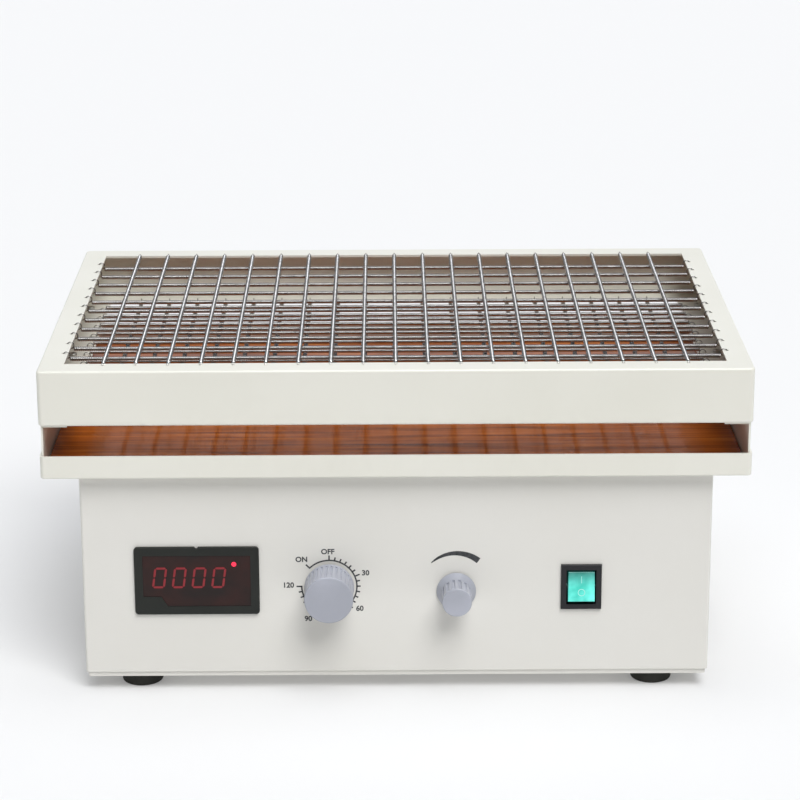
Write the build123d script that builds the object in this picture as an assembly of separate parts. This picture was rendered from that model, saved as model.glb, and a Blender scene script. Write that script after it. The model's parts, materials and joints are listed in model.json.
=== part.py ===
from build123d import *
import math
import os

# Spring-net platform shaker. A motor under the housing turns a crank through a
# belt; the crank's roller drives a carriage from side to side on two guide rods,
# and the carriage carries the tray with its two nets of springs.
# Millimetres. X is the width and the shaking direction, Y runs front to back, and
# Z is up, with Z = 0 at the bottom of the feet.

# ---- Platform -------------------------------------------------------------
TRAY_WIDTH = 450.0
TRAY_DEPTH = 310.0
TRAY_LIP = 15.0
FRAME_HEIGHT = 36.0
FRAME_SHEET = 1.5
SIDE_FLANGE = 16.0
FRONT_FLANGE = 17.0
THROUGH_GAP = 20.0          # open height between the tray's lip and the frame
PLATFORM_CORNER = 3.0
SHEET = 1.2
BOARD_THICKNESS = 4.0
BOARD_SIDE_GAP = 3.5
BOARD_END_GAP = 3.0
BRACKET_FLANGE = 16.5
BRACKET_FOOT = 14.0
BRACKET_END_GAP = 2.3
LIP_CLEARANCE = 0.2

# ---- Springs --------------------------------------------------------------
SPRING_OD = 3.1
SPRING_WIRE = 0.7
CROSS_SPRINGS = 19          # run front to back
LONG_SPRINGS = 11           # run left to right
CROSS_PITCH = 20.5
LONG_PITCH = 22.8
CROSS_RISE = 0.4            # axis of the front-to-back springs above the flange's middle
LAYER_STEP = 3.3            # axis distance between the two directions
LOOP_RADIUS = 2.2
LOOP_DROP = 0.5
LOOP_REACH = 3.2            # outermost wire of a loop, beyond the flange's inner edge
COIL_END_GAP = 0.9
HOOK_HOLE_RADIUS = 1.2
HOOK_HOLE_INSET = 2.95
NOTCH_WIDTH = 5.0
NOTCH_MARGIN = 1.2

# ---- Housing --------------------------------------------------------------
HOUSING_WIDTH = 404.0
HOUSING_DEPTH = 290.0
HOUSING_HEIGHT = 134.0
HOUSING_CORNER = 2.0
HOUSING_FLANGE = 12.0
TRAY_CLEARANCE = 2.0
PLATE_THICKNESS = 3.1
PLATE_INSET = 1.2
REAR_PANEL_THICKNESS = 1.5
REAR_BORDER = 11.0
REAR_OVERLAP = 8.0
VENT_WIDTH = 3.0
VENT_LENGTH = 40.0
VENT_PITCH = 9.0
VENT_COUNT = 8
VENT_X = -115.0
FOOT_HEIGHT = 9.9
FOOT_RADIUS = 14.0
FOOT_TIP_RADIUS = 13.2
FOOT_EDGE = 1.6
FOOT_RECESS_RADIUS = 6.0
FOOT_RECESS_DEPTH = 5.5
FOOT_X = 167.0
FOOT_Y = 124.5

# ---- Front panel ----------------------------------------------------------
METER_X = -128.4
METER_HEIGHT = 63.7         # heights are above the housing's bottom edge
METER_WIDTH = 80.3
METER_TALL = 46.0
METER_CORNER = 2.4
METER_NICK = 1.1            # half-round nick in the middle of the top edge
METER_PROUD = 2.0
METER_BODY_WIDTH = 74.0
METER_BODY_TALL = 39.0
METER_BODY_DEPTH = 26.0
METER_WALL = 1.6
WINDOW_WIDTH = 69.3
WINDOW_TALL = 34.6
WINDOW_THICKNESS = 1.5
WINDOW_RECESS = 0.5
WINDOW_NOTCH_WIDTH = 11.5
WINDOW_NOTCH_TALL = 6.6
WINDOW_NOTCH_SLOPE = 4.2
DIGIT_COUNT = 4
DIGIT_PITCH = 12.7
DIGIT_FIRST_X = -152.3
DIGIT_HEIGHT = 65.9
DIGIT_TALL = 19.0
DIGIT_DEPTH = 8.0
TIMER_X = -43.3
TIMER_HEIGHT = 59.0
TIMER_KNOB_RADIUS = 16.0
TIMER_GRIP_RADIUS = 15.6
TIMER_KNOB_LENGTH = 23.0
TIMER_STAND_OFF = 2.5       # from the panel to the back of the knob
TIMER_SKIRT = 1.5
TIMER_FLUTES = 30
TIMER_FLUTE_RADIUS = 0.8
TIMER_BODY = 50.0
TIMER_BODY_DEPTH = 28.0
SPEED_X = 38.4
SPEED_HEIGHT = 55.5
SPEED_SKIRT_RADIUS = 12.7
SPEED_GRIP_RADIUS = 9.5
SPEED_KNOB_LENGTH = 20.6
SPEED_STAND_OFF = 1.2
SPEED_SKIRT = 4.0
SPEED_FLUTES = 14
SPEED_FLUTE_RADIUS = 1.0
KNOB_RIM = 1.6              # smooth front end of a knob, ahead of its flutes
POT_RADIUS = 12.0
POT_DEPTH = 11.0
BUSHING_RADIUS = 5.0
BUSHING_PROUD = 0.8
KNOB_SHAFT_RADIUS = 3.0
KNOB_SHAFT_REACH = 12.0     # shaft's end ahead of the panel
TURNING_GAP = 0.3           # axial gap of a piece that turns
SWITCH_X = 118.9
SWITCH_HEIGHT = 58.1
SWITCH_WIDTH = 26.2
SWITCH_TALL = 30.4
SWITCH_PROUD = 2.0
SWITCH_BODY_WIDTH = 21.5
SWITCH_BODY_TALL = 27.0
SWITCH_BODY_DEPTH = 22.0
SWITCH_WELL_DEPTH = 13.0
ROCKER_WIDTH = 17.2
ROCKER_TALL = 19.8
ROCKER_GAP = 1.0
ROCKER_SWING_GAP = 1.8
ROCKER_FACE = 6.5           # front face ahead of the rocker's pivot
ROCKER_DEPTH = 6.0          # back of the rocker behind the pivot
ROCKER_TILT = 8.0
ROCKER_PIVOT_DEPTH = 3.0    # pivot behind the panel's front
ROCKER_PIN_RADIUS = 1.4
ROCKER_PIN_INSET = 0.15     # pin's end inside the switch's outer wall

# ---- Rear panel fittings --------------------------------------------------
INLET_X = 110.0
INLET_HEIGHT = 42.0
INLET_WIDTH = 31.0
INLET_TALL = 24.0
INLET_FLANGE_WIDTH = 50.0
INLET_FLANGE_TALL = 28.0
INLET_FLANGE = 3.0
INLET_DEPTH = 20.0
INLET_CAVITY_WIDTH = 24.0
INLET_CAVITY_TALL = 16.0
INLET_CAVITY_DEPTH = 17.0
PIN_WIDTH = 2.0
PIN_TALL = 4.0
PIN_SPACING = 7.0
PIN_LENGTH = 14.0
INLET_SCREW_SPACING = 20.0
FUSE_X = 62.0
FUSE_FLANGE_RADIUS = 9.0
FUSE_FLANGE = 2.0
FUSE_BODY_RADIUS = 6.0
FUSE_BODY_DEPTH = 30.0
FUSE_CAP_RADIUS = 7.0
FUSE_CAP_LENGTH = 7.0
FUSE_PLUG_RADIUS = 4.0
FUSE_PLUG_DEPTH = 12.0

# ---- Drive ----------------------------------------------------------------
STROKE = 20.0
SHAFT_RADIUS = 7.5
BEARING_RADIUS = 16.0
BEARING_WIDTH = 9.0
BEARING_INNER_RADIUS = 10.0
TOWER_RADIUS = 22.0
TOWER_HEIGHT = 60.0
TOWER_FLANGE_RADIUS = 38.0
TOWER_FLANGE = 6.0
TOWER_BOLT_RADIUS = 31.0
PULLEY_RADIUS = 45.0
MOTOR_PULLEY_RADIUS = 15.0
PULLEY_FLANGE = 3.0
PULLEY_WIDTH = 13.0
PULLEY_RIM = 1.5
PULLEY_LIFT = 5.0           # above the bearing tower
PULLEY_HOLES = 5
BELT_WIDTH = 8.5
BELT_THICKNESS = 2.0
BELT_GAP = 0.3
MOTOR_X = 88.0
MOTOR_RADIUS = 35.0
MOTOR_HEIGHT = 52.0
MOTOR_LIFT = 5.0            # above the base plate
MOTOR_SHAFT_RADIUS = 4.0
MOTOR_SHAFT_DEPTH = 40.0
STAND_SHEET = 3.0
MOTOR_STAND_WIDTH = 72.0
MOTOR_STAND_DEPTH = 84.0
MOTOR_STAND_FOOT = 14.0
MOTOR_SCREW_RADIUS = 25.0
DISC_RADIUS = 32.0
DISC_THICKNESS = 10.0
DISC_LIFT = 4.0             # above the driven pulley
CRANK_PIN_RADIUS = 4.0
ROLLER_RADIUS = 11.0
ROLLER_WIDTH = 8.0
ROLLER_LIFT = 3.0
YOKE_SIDE_GAP = 2.5
YOKE_END_GAP = 3.0
YOKE_WALL = 16.0
YOKE_LIFT = 1.5             # above the crank disc
YOKE_HEIGHT = 17.0
SENSOR_GAP = 0.8
SENSOR_WIDTH = 12.0

# ---- Guides and carriage --------------------------------------------------
ROD_RADIUS = 5.0
ROD_Y = 95.0
ROD_LENGTH = 314.0
ROD_DROP = 15.0             # rod axis below the carriage plate
SUPPORT_X = 148.0
SUPPORT_THICKNESS = 14.0
SUPPORT_WIDTH = 42.0
SUPPORT_TOP = 11.0
STAND_X = 160.0
STAND_LENGTH = 222.0
STAND_FLANGE = 25.0
BLOCK_X = 70.0
BLOCK_LENGTH = 34.0
BLOCK_WIDTH = 32.0
BUSH_RADIUS = 9.5
BUSH_LENGTH = 29.0
CARRIAGE_THICKNESS = 4.0
CARRIAGE_MARGIN = 3.0
POST_RADIUS = 6.0
POST_SLOT_GAP = 1.5
RUNNING = 0.05              # radial clearance of a shaft that turns or slides
FIT = 0.02                  # radial clearance of pieces that stay together

# ---- Electrical pieces ----------------------------------------------------
TRANSFORMER_X = -108.0
TRANSFORMER_Y = 70.0
TRANSFORMER_CORE = 60.0
TRANSFORMER_DEPTH = 24.0
TRANSFORMER_HEIGHT = 50.0
COIL_BULGE = 10.0
COIL_WIDTH = 36.0
COIL_CORNER = 8.0
BOARD_X = -104.0
BOARD_Y = -35.0
BOARD_WIDTH = 84.0
BOARD_DEPTH = 66.0
BOARD_SHEET = 1.6
STANDOFF_RADIUS = 3.0
STANDOFF_HEIGHT = 10.0
CAPACITOR_RADIUS = 9.0
CAPACITOR_HEIGHT = 30.0
HEAT_SINK_HEIGHT = 28.0
HEAT_SINK_DEPTH = 36.0
HEAT_SINK_FINS = 6

# ---- Screws ---------------------------------------------------------------
M4 = 2.0
M4_HEAD = 3.6
M4_HEAD_HEIGHT = 2.2
M3 = 1.5
M3_HEAD = 2.8
M3_HEAD_HEIGHT = 1.8
M5 = 2.5
M5_HEAD = 4.5
M5_HEAD_HEIGHT = 3.0
SCREW_GAP = 0.1
HEAD_ROUNDING = 0.45        # share of a screw head's height
HEAD_ROOM = 0.5             # above a covered screw head
RECESS_WIDTH = 0.9
SHORT_SCREW = 6.0
TRAY_SCREW_INSET = 9.1      # from a side bracket's outer face
TRAY_SCREW_END = 14.0       # from the tray's front and rear edges
FRAME_SCREW_SPREAD = 0.77   # first to last, as a share of the tray's depth
BUSH_COVER = 1.0            # metal left between a carriage screw and the bush below it

# ---- Levels worked out from the sizes above -------------------------------
Z_PLATE = FOOT_HEIGHT
Z_HOUSING = Z_PLATE + PLATE_THICKNESS
Z_HOUSING_TOP = Z_HOUSING + HOUSING_HEIGHT
Z_TRAY = Z_HOUSING_TOP + TRAY_CLEARANCE
Z_BOARD = Z_TRAY + 2 * SHEET
Z_FRAME = Z_TRAY + TRAY_LIP + THROUGH_GAP
Z_FRAME_TOP = Z_FRAME + FRAME_HEIGHT
Z_UPPER_NET = Z_FRAME_TOP - FRAME_SHEET / 2
Z_LOWER_NET = Z_FRAME + FRAME_SHEET / 2
Z_TOWER_TOP = Z_HOUSING + TOWER_HEIGHT
Z_PULLEY = Z_TOWER_TOP + PULLEY_LIFT
Z_DISC = Z_PULLEY + PULLEY_WIDTH + DISC_LIFT
Z_YOKE = Z_DISC + DISC_THICKNESS + YOKE_LIFT
Z_CARRIAGE = Z_YOKE + YOKE_HEIGHT
Z_POST = Z_CARRIAGE + CARRIAGE_THICKNESS
Z_ROD = Z_CARRIAGE - ROD_DROP
Z_ROLLER = Z_DISC + DISC_THICKNESS + ROLLER_LIFT

CRANK_THROW = STROKE / 2
CARRIAGE_SCREW = CARRIAGE_THICKNESS + ROD_DROP - BUSH_RADIUS - BUSH_COVER
FRAME_INNER_X = TRAY_WIDTH / 2 - SIDE_FLANGE
FRAME_INNER_Y = TRAY_DEPTH / 2 - FRONT_FLANGE
PANEL_Y = -HOUSING_DEPTH / 2
REAR_FACE_Y = HOUSING_DEPTH / 2 - SHEET
REAR_INSIDE_Y = REAR_FACE_Y - REAR_PANEL_THICKNESS
BRACKET_X = TRAY_WIDTH / 2 - SHEET - LIP_CLEARANCE
METER_Z = Z_HOUSING + METER_HEIGHT
TIMER_Z = Z_HOUSING + TIMER_HEIGHT
SPEED_Z = Z_HOUSING + SPEED_HEIGHT
SWITCH_Z = Z_HOUSING + SWITCH_HEIGHT
INLET_Z = Z_HOUSING + INLET_HEIGHT
FRONT_REACH = max(TIMER_STAND_OFF + TIMER_KNOB_LENGTH - PANEL_Y,
                  SPEED_STAND_OFF + SPEED_KNOB_LENGTH - PANEL_Y, TRAY_DEPTH / 2)
CENTRE_SHIFT = (FRONT_REACH - TRAY_DEPTH / 2) / 2


# ---- Shapes used again and again ------------------------------------------
def block(x0, x1, y0, y1, z0, z1):
    """A rectangular block between two corners."""
    centre = Pos((x0 + x1) / 2, (y0 + y1) / 2, (z0 + z1) / 2)
    return centre * Box(x1 - x0, y1 - y0, z1 - z0)


def centred_block(x, y, z0, width, depth, height):
    """A block that stands on z0, centred on x and y."""
    return Pos(x, y, z0 + height / 2) * Box(width, depth, height)


def panel_block(x, z, width, height, y0, y1):
    """A block seen square-on from the front, centred on x and z."""
    return block(x - width / 2, x + width / 2, y0, y1, z - height / 2, z + height / 2)


def upright(x, y, z0, z1, radius):
    """A round bar along Z."""
    return Pos(x, y, (z0 + z1) / 2) * Cylinder(radius, z1 - z0)


def bar_x(y, z, x0, x1, radius):
    """A round bar along X."""
    return Pos((x0 + x1) / 2, y, z) * Rot(0, 90, 0) * Cylinder(radius, x1 - x0)


def bar_y(x, z, y0, y1, radius):
    """A round bar along Y."""
    return Pos(x, (y0 + y1) / 2, z) * Rot(90, 0, 0) * Cylinder(radius, y1 - y0)


def rounded_box(width, depth, z0, z1, corner, edge):
    """A box with rounded upright corners and eased top and bottom edges."""
    body = extrude(Pos(0, 0, z0) * RectangleRounded(width, depth, corner), z1 - z0)
    rims = body.edges().group_by(Axis.Z)
    return fillet(rims[0] + rims[-1], edge)


def ring_of(piece, count):
    """Copies of a piece spaced evenly about the Z axis."""
    return [Rot(0, 0, 360 * i / count) * piece for i in range(count)]


def corners(x, y):
    """The four corners of a rectangle that is centred on the Z axis."""
    return [(sx * x, sy * y) for sx in (-1, 1) for sy in (-1, 1)]


def group(solids):
    """Separate solids kept in one node."""
    return Compound(children=list(solids))


def screw(radius, head_radius, head_height, length):
    """A pan-head screw: its seat at Z = 0, its head above and its shank below."""
    head = Pos(0, 0, head_height / 2) * Cylinder(head_radius, head_height)
    head = fillet(head.edges().group_by(Axis.Z)[-1], head_height * HEAD_ROUNDING)
    shank = Pos(0, 0, -length / 2) * Cylinder(radius, length)
    recess = Box(head_radius, RECESS_WIDTH, head_height)
    recess += Box(RECESS_WIDTH, head_radius, head_height)
    return head + shank - Pos(0, 0, head_height) * recess


def screw_m3(length):
    return screw(M3, M3_HEAD, M3_HEAD_HEIGHT, length)


def screw_m4(length):
    return screw(M4, M4_HEAD, M4_HEAD_HEIGHT, length)


def screw_m5(length):
    return screw(M5, M5_HEAD, M5_HEAD_HEIGHT, length)


def drill(piece, places, radius, length):
    """Cut a screw's hole at each place, down from the seat and up past the head."""
    for place in places:
        piece -= place * Pos(0, 0, -length / 2) * Cylinder(radius + SCREW_GAP, length)
    return piece


def upside_down(x, y, z):
    """The place of a screw that is driven upward."""
    return Pos(x, y, z) * Rot(180, 0, 0)


# ---- Where the screws go --------------------------------------------------
def foot_screw_places():
    seat = FOOT_RECESS_DEPTH
    return [upside_down(x, y, seat) for x, y in corners(FOOT_X, FOOT_Y)]


def cover_screw_places():
    x = HOUSING_WIDTH / 2 - PLATE_INSET - HOUSING_FLANGE / 2
    y = HOUSING_DEPTH / 2 - PLATE_INSET - HOUSING_FLANGE / 2
    spots = corners(x, y) + [(-x, 0), (x, 0), (0, -y)]
    return [upside_down(a, b, Z_PLATE) for a, b in spots]


def rear_screw_places():
    x = HOUSING_WIDTH / 2 - SHEET - REAR_BORDER / 2
    z_low = Z_HOUSING + REAR_BORDER
    z_high = Z_HOUSING_TOP - SHEET - REAR_BORDER / 2
    spots = [(sx * x, z) for sx in (-1, 1) for z in (z_low, z_high)] + [(0, z_high)]
    return [Pos(a, HOUSING_DEPTH / 2, z) * Rot(-90, 0, 0) for a, z in spots]


def inlet_screw_places():
    y = REAR_FACE_Y + INLET_FLANGE
    spots = [INLET_X - INLET_SCREW_SPACING, INLET_X + INLET_SCREW_SPACING]
    return [Pos(x, y, INLET_Z) * Rot(-90, 0, 0) for x in spots]


def tray_screw_places():
    """Screws down through the board and the brackets' feet into the tray's floor."""
    x = BRACKET_X - TRAY_SCREW_INSET
    end = TRAY_DEPTH / 2 - TRAY_SCREW_END
    spots = [(s * x, y) for s in (-1, 1) for y in (-end, 0, end)]
    return [Pos(a, b, Z_BOARD + BOARD_THICKNESS) for a, b in spots]


def frame_screw_places():
    """Screws down through the frame's lower flange into the side brackets."""
    x = BRACKET_X - BRACKET_FLANGE / 4
    end = TRAY_DEPTH * FRAME_SCREW_SPREAD / 2
    spots = [(s * x, y) for s in (-1, 1) for y in (-end, 0, end)]
    return [Pos(a, b, Z_FRAME + FRAME_SHEET) for a, b in spots]


def post_places():
    return corners(BLOCK_X, ROD_Y)


def platform_screw_places():
    return [Pos(x, y, Z_TRAY + SHEET) for x, y in post_places()]


def carriage_screw_places():
    spots = []
    for x, y in post_places():
        spots += [(x - BLOCK_LENGTH / 3, y), (x + BLOCK_LENGTH / 3, y)]
    for y in yoke_screw_rows():
        spots += [(0, y)]
    return [Pos(x, y, Z_POST) for x, y in spots]


def yoke_screw_rows():
    y = yoke_half_slot() + YOKE_WALL / 2
    return [-y, y]


def yoke_half_slot():
    return CRANK_THROW + ROLLER_RADIUS + YOKE_END_GAP


def motor_screw_places():
    z = motor_stand_top()
    spots = [Pos(MOTOR_X, 0, z) * Rot(0, 0, 45 + 90 * i) * Pos(MOTOR_SCREW_RADIUS, 0, 0)
             for i in range(4)]
    return spots


def tower_screw_places():
    z = Z_HOUSING + TOWER_FLANGE
    return [Pos(0, 0, z) * Rot(0, 0, 45 + 90 * i) * Pos(TOWER_BOLT_RADIUS, 0, 0)
            for i in range(4)]


def stand_screw_places():
    spots = []
    for side in (-1, 1):
        x = side * (STAND_X + STAND_FLANGE / 2)
        spots += [Pos(x, y, Z_HOUSING + STAND_SHEET) for y in (-ROD_Y, ROD_Y)]
    y = MOTOR_STAND_DEPTH / 2 + MOTOR_STAND_FOOT / 2
    spots += [Pos(MOTOR_X, s * y, Z_HOUSING + STAND_SHEET) for s in (-1, 1)]
    return spots


def motor_stand_top():
    return Z_HOUSING + MOTOR_LIFT + MOTOR_HEIGHT + STAND_SHEET


# ---- Platform -------------------------------------------------------------
def tray_pan():
    """The tray: a sheet floor with a lip turned up all round."""
    z1 = Z_TRAY + TRAY_LIP
    tray = extrude(Pos(0, 0, Z_TRAY) * RectangleRounded(TRAY_WIDTH, TRAY_DEPTH, PLATFORM_CORNER),
                   TRAY_LIP)
    tray = fillet(tray.edges().group_by(Axis.Z)[0], SHEET)
    inside = RectangleRounded(TRAY_WIDTH - 2 * SHEET, TRAY_DEPTH - 2 * SHEET,
                              PLATFORM_CORNER - SHEET)
    tray -= extrude(Pos(0, 0, Z_TRAY + SHEET) * inside, z1 - Z_TRAY)
    tray = drill(tray, tray_screw_places(), M3, BOARD_THICKNESS + 3 * SHEET)
    return drill(tray, platform_screw_places(), M4, 2 * SHEET)


def tray_board():
    """The glossy phenolic board in the tray, with pockets below for the posts' screw heads."""
    x = TRAY_WIDTH / 2 - BOARD_SIDE_GAP
    y = TRAY_DEPTH / 2 - BOARD_END_GAP
    board = block(-x, x, -y, y, Z_BOARD, Z_BOARD + BOARD_THICKNESS)
    board = chamfer(board.edges().filter_by(Axis.Z), SHEET)
    board = drill(board, tray_screw_places(), M3, BOARD_THICKNESS)
    pocket_top = Z_TRAY + SHEET + M4_HEAD_HEIGHT + HEAD_ROOM
    for px, py in post_places():
        board -= upright(px, py, Z_BOARD - 1, pocket_top, M4_HEAD + POST_SLOT_GAP)
    return board


def side_bracket(side):
    """A folded sheet wall between tray and frame, with a foot and a top flange."""
    y = TRAY_DEPTH / 2 - BRACKET_END_GAP
    z0 = Z_TRAY + SHEET
    x = BRACKET_X
    wall = block(x - SHEET, x, -y, y, z0, Z_FRAME)
    foot = block(x - BRACKET_FOOT, x, -y, y, z0, z0 + SHEET)
    top = block(x - BRACKET_FLANGE, x, -y, y, Z_FRAME - SHEET, Z_FRAME)
    notch_end = FRAME_INNER_X + LOOP_REACH + NOTCH_MARGIN
    for row in net_rows(LONG_SPRINGS, LONG_PITCH):
        notch = block(x - BRACKET_FLANGE - SHEET, notch_end, row - NOTCH_WIDTH / 2,
                      row + NOTCH_WIDTH / 2, Z_FRAME - 2 * SHEET, Z_FRAME + SHEET)
        top -= notch
    piece = wall + foot + top
    if side < 0:
        piece = piece.mirror(Plane.YZ)
    piece = drill(piece, tray_screw_places(), M3, BOARD_THICKNESS + 3 * SHEET)
    return drill(piece, frame_screw_places(), M3, SHORT_SCREW)


def net_rows(count, pitch):
    """Even positions either side of zero."""
    return [(i - (count - 1) / 2) * pitch for i in range(count)]


def spring_frame():
    """The channel-section ring that both spring nets hook into."""
    ring = rounded_box(TRAY_WIDTH, TRAY_DEPTH, Z_FRAME, Z_FRAME_TOP, PLATFORM_CORNER, FRAME_SHEET)
    inside = RectangleRounded(TRAY_WIDTH - 2 * FRAME_SHEET, TRAY_DEPTH - 2 * FRAME_SHEET,
                              PLATFORM_CORNER - FRAME_SHEET)
    ring -= extrude(Pos(0, 0, Z_FRAME + FRAME_SHEET) * inside, FRAME_HEIGHT - 2 * FRAME_SHEET)
    ring -= block(-FRAME_INNER_X, FRAME_INNER_X, -FRAME_INNER_Y, FRAME_INNER_Y,
                  Z_FRAME - FRAME_SHEET, Z_FRAME_TOP + FRAME_SHEET)
    x = FRAME_INNER_X + HOOK_HOLE_INSET
    y = FRAME_INNER_Y + HOOK_HOLE_INSET
    spots = [(s * x, row) for row in net_rows(LONG_SPRINGS, LONG_PITCH) for s in (-1, 1)]
    spots += [(row, s * y) for row in net_rows(CROSS_SPRINGS, CROSS_PITCH) for s in (-1, 1)]
    z0 = Z_FRAME - FRAME_SHEET
    z1 = Z_FRAME_TOP + FRAME_SHEET
    ring -= [upright(a, b, z0, z1, HOOK_HOLE_RADIUS) for a, b in spots]
    return drill(ring, frame_screw_places(), M3, SHORT_SCREW)


def spring(half_opening, axis_rise):
    """A close-wound spring along X with a loop at each end.

    Z = 0 is the middle of the flange that the loops hook round."""
    half = half_opening - COIL_END_GAP
    inner_radius = SPRING_OD / 2 - SPRING_WIRE
    coil = bar_x(0, axis_rise, -half, half, SPRING_OD / 2)
    coil -= bar_x(0, axis_rise, -half, half, inner_radius)
    centre = half_opening + LOOP_REACH - LOOP_RADIUS
    for side in (-1, 1):
        loop = Rot(90, 0, 0) * Torus(LOOP_RADIUS, SPRING_WIRE / 2)
        coil += Pos(side * centre, 0, -LOOP_DROP) * loop
    return coil


def spring_net(one, count, pitch, along_y, level, upper):
    """Copies of one spring side by side; the lower net is the upper one mirrored."""
    if not upper:
        one = one.mirror(Plane.XY)
    turn = Rot(0, 0, 90) if along_y else Rot(0, 0, 0)
    placed = []
    for row in net_rows(count, pitch):
        spot = Pos(row, 0, level) if along_y else Pos(0, row, level)
        placed.append(spot * turn * one)
    return group(placed)


def cross_springs(level, upper):
    one = spring(FRAME_INNER_Y, CROSS_RISE)
    return spring_net(one, CROSS_SPRINGS, CROSS_PITCH, True, level, upper)


def long_springs(level, upper):
    one = spring(FRAME_INNER_X, CROSS_RISE - LAYER_STEP)
    return spring_net(one, LONG_SPRINGS, LONG_PITCH, False, level, upper)


def carriage_plate():
    """The plate that ties the four bearing blocks and the yoke together."""
    x = BLOCK_X + BLOCK_LENGTH / 2 + CARRIAGE_MARGIN
    y = ROD_Y + BLOCK_WIDTH / 2
    plate = block(-x, x, -y, y, Z_CARRIAGE, Z_POST)
    plate = fillet(plate.edges().filter_by(Axis.Z), BLOCK_WIDTH / 4)
    window = yoke_half_slot()
    for side in (-1, 1):
        inner = ROLLER_RADIUS + YOKE_SIDE_GAP + YOKE_WALL
        outer = BLOCK_X - BLOCK_LENGTH / 2
        hole = block(inner, outer, -window, window, Z_CARRIAGE - 1, Z_POST + 1)
        plate -= hole if side > 0 else hole.mirror(Plane.YZ)
    plate = drill(plate, carriage_screw_places(), M4, CARRIAGE_SCREW)
    for px, py in post_places():
        plate -= upright(px, py, Z_CARRIAGE - 1, Z_POST + 1, M4 + SCREW_GAP)
    return plate


def yoke_block():
    """The slotted block that the crank's roller runs in."""
    x = ROLLER_RADIUS + YOKE_SIDE_GAP
    y = yoke_half_slot()
    body = block(-x - YOKE_WALL, x + YOKE_WALL, -y - YOKE_WALL, y + YOKE_WALL, Z_YOKE, Z_CARRIAGE)
    body = fillet(body.edges().filter_by(Axis.Z), YOKE_WALL / 3)
    body -= block(-x, x, -y, y, Z_YOKE - 1, Z_CARRIAGE + 1)
    return drill(body, carriage_screw_places(), M4, CARRIAGE_SCREW)


def bearing_block(x, y):
    """A block that carries one linear bush on a guide rod."""
    z0 = Z_ROD - BUSH_RADIUS - SUPPORT_TOP / 2
    body = centred_block(x, y, z0, BLOCK_LENGTH, BLOCK_WIDTH, Z_CARRIAGE - z0)
    body -= bar_x(y, Z_ROD, x - BLOCK_LENGTH, x + BLOCK_LENGTH, BUSH_RADIUS + FIT)
    return drill(body, carriage_screw_places(), M4, CARRIAGE_SCREW)


def bearing_blocks():
    return group(bearing_block(x, y) for x, y in post_places())


def linear_bush(x, y):
    bush = bar_x(y, Z_ROD, x - BUSH_LENGTH / 2, x + BUSH_LENGTH / 2, BUSH_RADIUS)
    return bush - bar_x(y, Z_ROD, x - BUSH_LENGTH, x + BUSH_LENGTH, ROD_RADIUS + RUNNING)


def linear_bushes():
    return group(linear_bush(x, y) for x, y in post_places())


def platform_posts():
    """Spacers from the carriage up through the housing's slots to the tray."""
    posts = []
    for x, y in post_places():
        post = upright(x, y, Z_POST, Z_TRAY, POST_RADIUS)
        posts.append(post - upright(x, y, Z_POST - 1, Z_TRAY + 1, M4 + SCREW_GAP))
    return group(posts)


def platform_screws():
    length = Z_TRAY + SHEET - Z_CARRIAGE
    return group(place * screw_m4(length) for place in platform_screw_places())


def carriage_screws():
    length = CARRIAGE_SCREW - SCREW_GAP
    return group(place * screw_m4(length) for place in carriage_screw_places())


def tray_screws():
    length = BOARD_THICKNESS + 2 * SHEET
    return group(place * screw_m3(length) for place in tray_screw_places())


def frame_screws():
    length = SHORT_SCREW - SCREW_GAP
    return group(place * screw_m3(length) for place in frame_screw_places())


# ---- Housing --------------------------------------------------------------
def housing():
    """The painted sheet cover, open at the bottom and, inside a border, the rear."""
    shell = rounded_box(HOUSING_WIDTH, HOUSING_DEPTH, Z_HOUSING, Z_HOUSING_TOP,
                        HOUSING_CORNER, SHEET / 2)
    inner_x = HOUSING_WIDTH / 2 - SHEET
    inner_y = HOUSING_DEPTH / 2 - SHEET
    shell -= block(-inner_x, inner_x, -inner_y, inner_y, Z_HOUSING + SHEET, Z_HOUSING_TOP - SHEET)
    mouth_x = inner_x - HOUSING_FLANGE
    mouth_y = inner_y - HOUSING_FLANGE
    shell -= block(-mouth_x, mouth_x, -mouth_y, mouth_y, Z_HOUSING - 1, Z_HOUSING + 2 * SHEET)
    shell -= block(-inner_x + REAR_BORDER, inner_x - REAR_BORDER, inner_y - 1,
                   HOUSING_DEPTH / 2 + 1, Z_HOUSING + REAR_BORDER,
                   Z_HOUSING_TOP - SHEET - REAR_BORDER)
    shell -= meter_body_block(FIT)
    shell -= bar_y(TIMER_X, TIMER_Z, PANEL_Y - 1, PANEL_Y + 2 * SHEET, BUSHING_RADIUS + SCREW_GAP)
    shell -= bar_y(SPEED_X, SPEED_Z, PANEL_Y - 1, PANEL_Y + 2 * SHEET, BUSHING_RADIUS + SCREW_GAP)
    shell -= panel_block(SWITCH_X, SWITCH_Z, SWITCH_BODY_WIDTH + 2 * FIT,
                         SWITCH_BODY_TALL + 2 * FIT, PANEL_Y - 1, PANEL_Y + 2 * SHEET)
    slot_width = 2 * (POST_RADIUS + POST_SLOT_GAP)
    slot_length = slot_width + STROKE
    for x, y in post_places():
        slot = Pos(x, y, Z_HOUSING_TOP - 2 * SHEET) * SlotOverall(slot_length, slot_width)
        shell -= extrude(slot, 4 * SHEET)
    shell = drill(shell, cover_screw_places(), M3, PLATE_THICKNESS + 2 * SHEET)
    return drill(shell, rear_screw_places(), M3, SHORT_SCREW)


def meter_body_block(gap):
    """The space that the meter's body takes through the front panel."""
    return panel_block(METER_X, METER_Z, METER_BODY_WIDTH + 2 * gap, METER_BODY_TALL + 2 * gap,
                       PANEL_Y - 2 * METER_PROUD, PANEL_Y + METER_BODY_DEPTH + gap)


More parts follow.
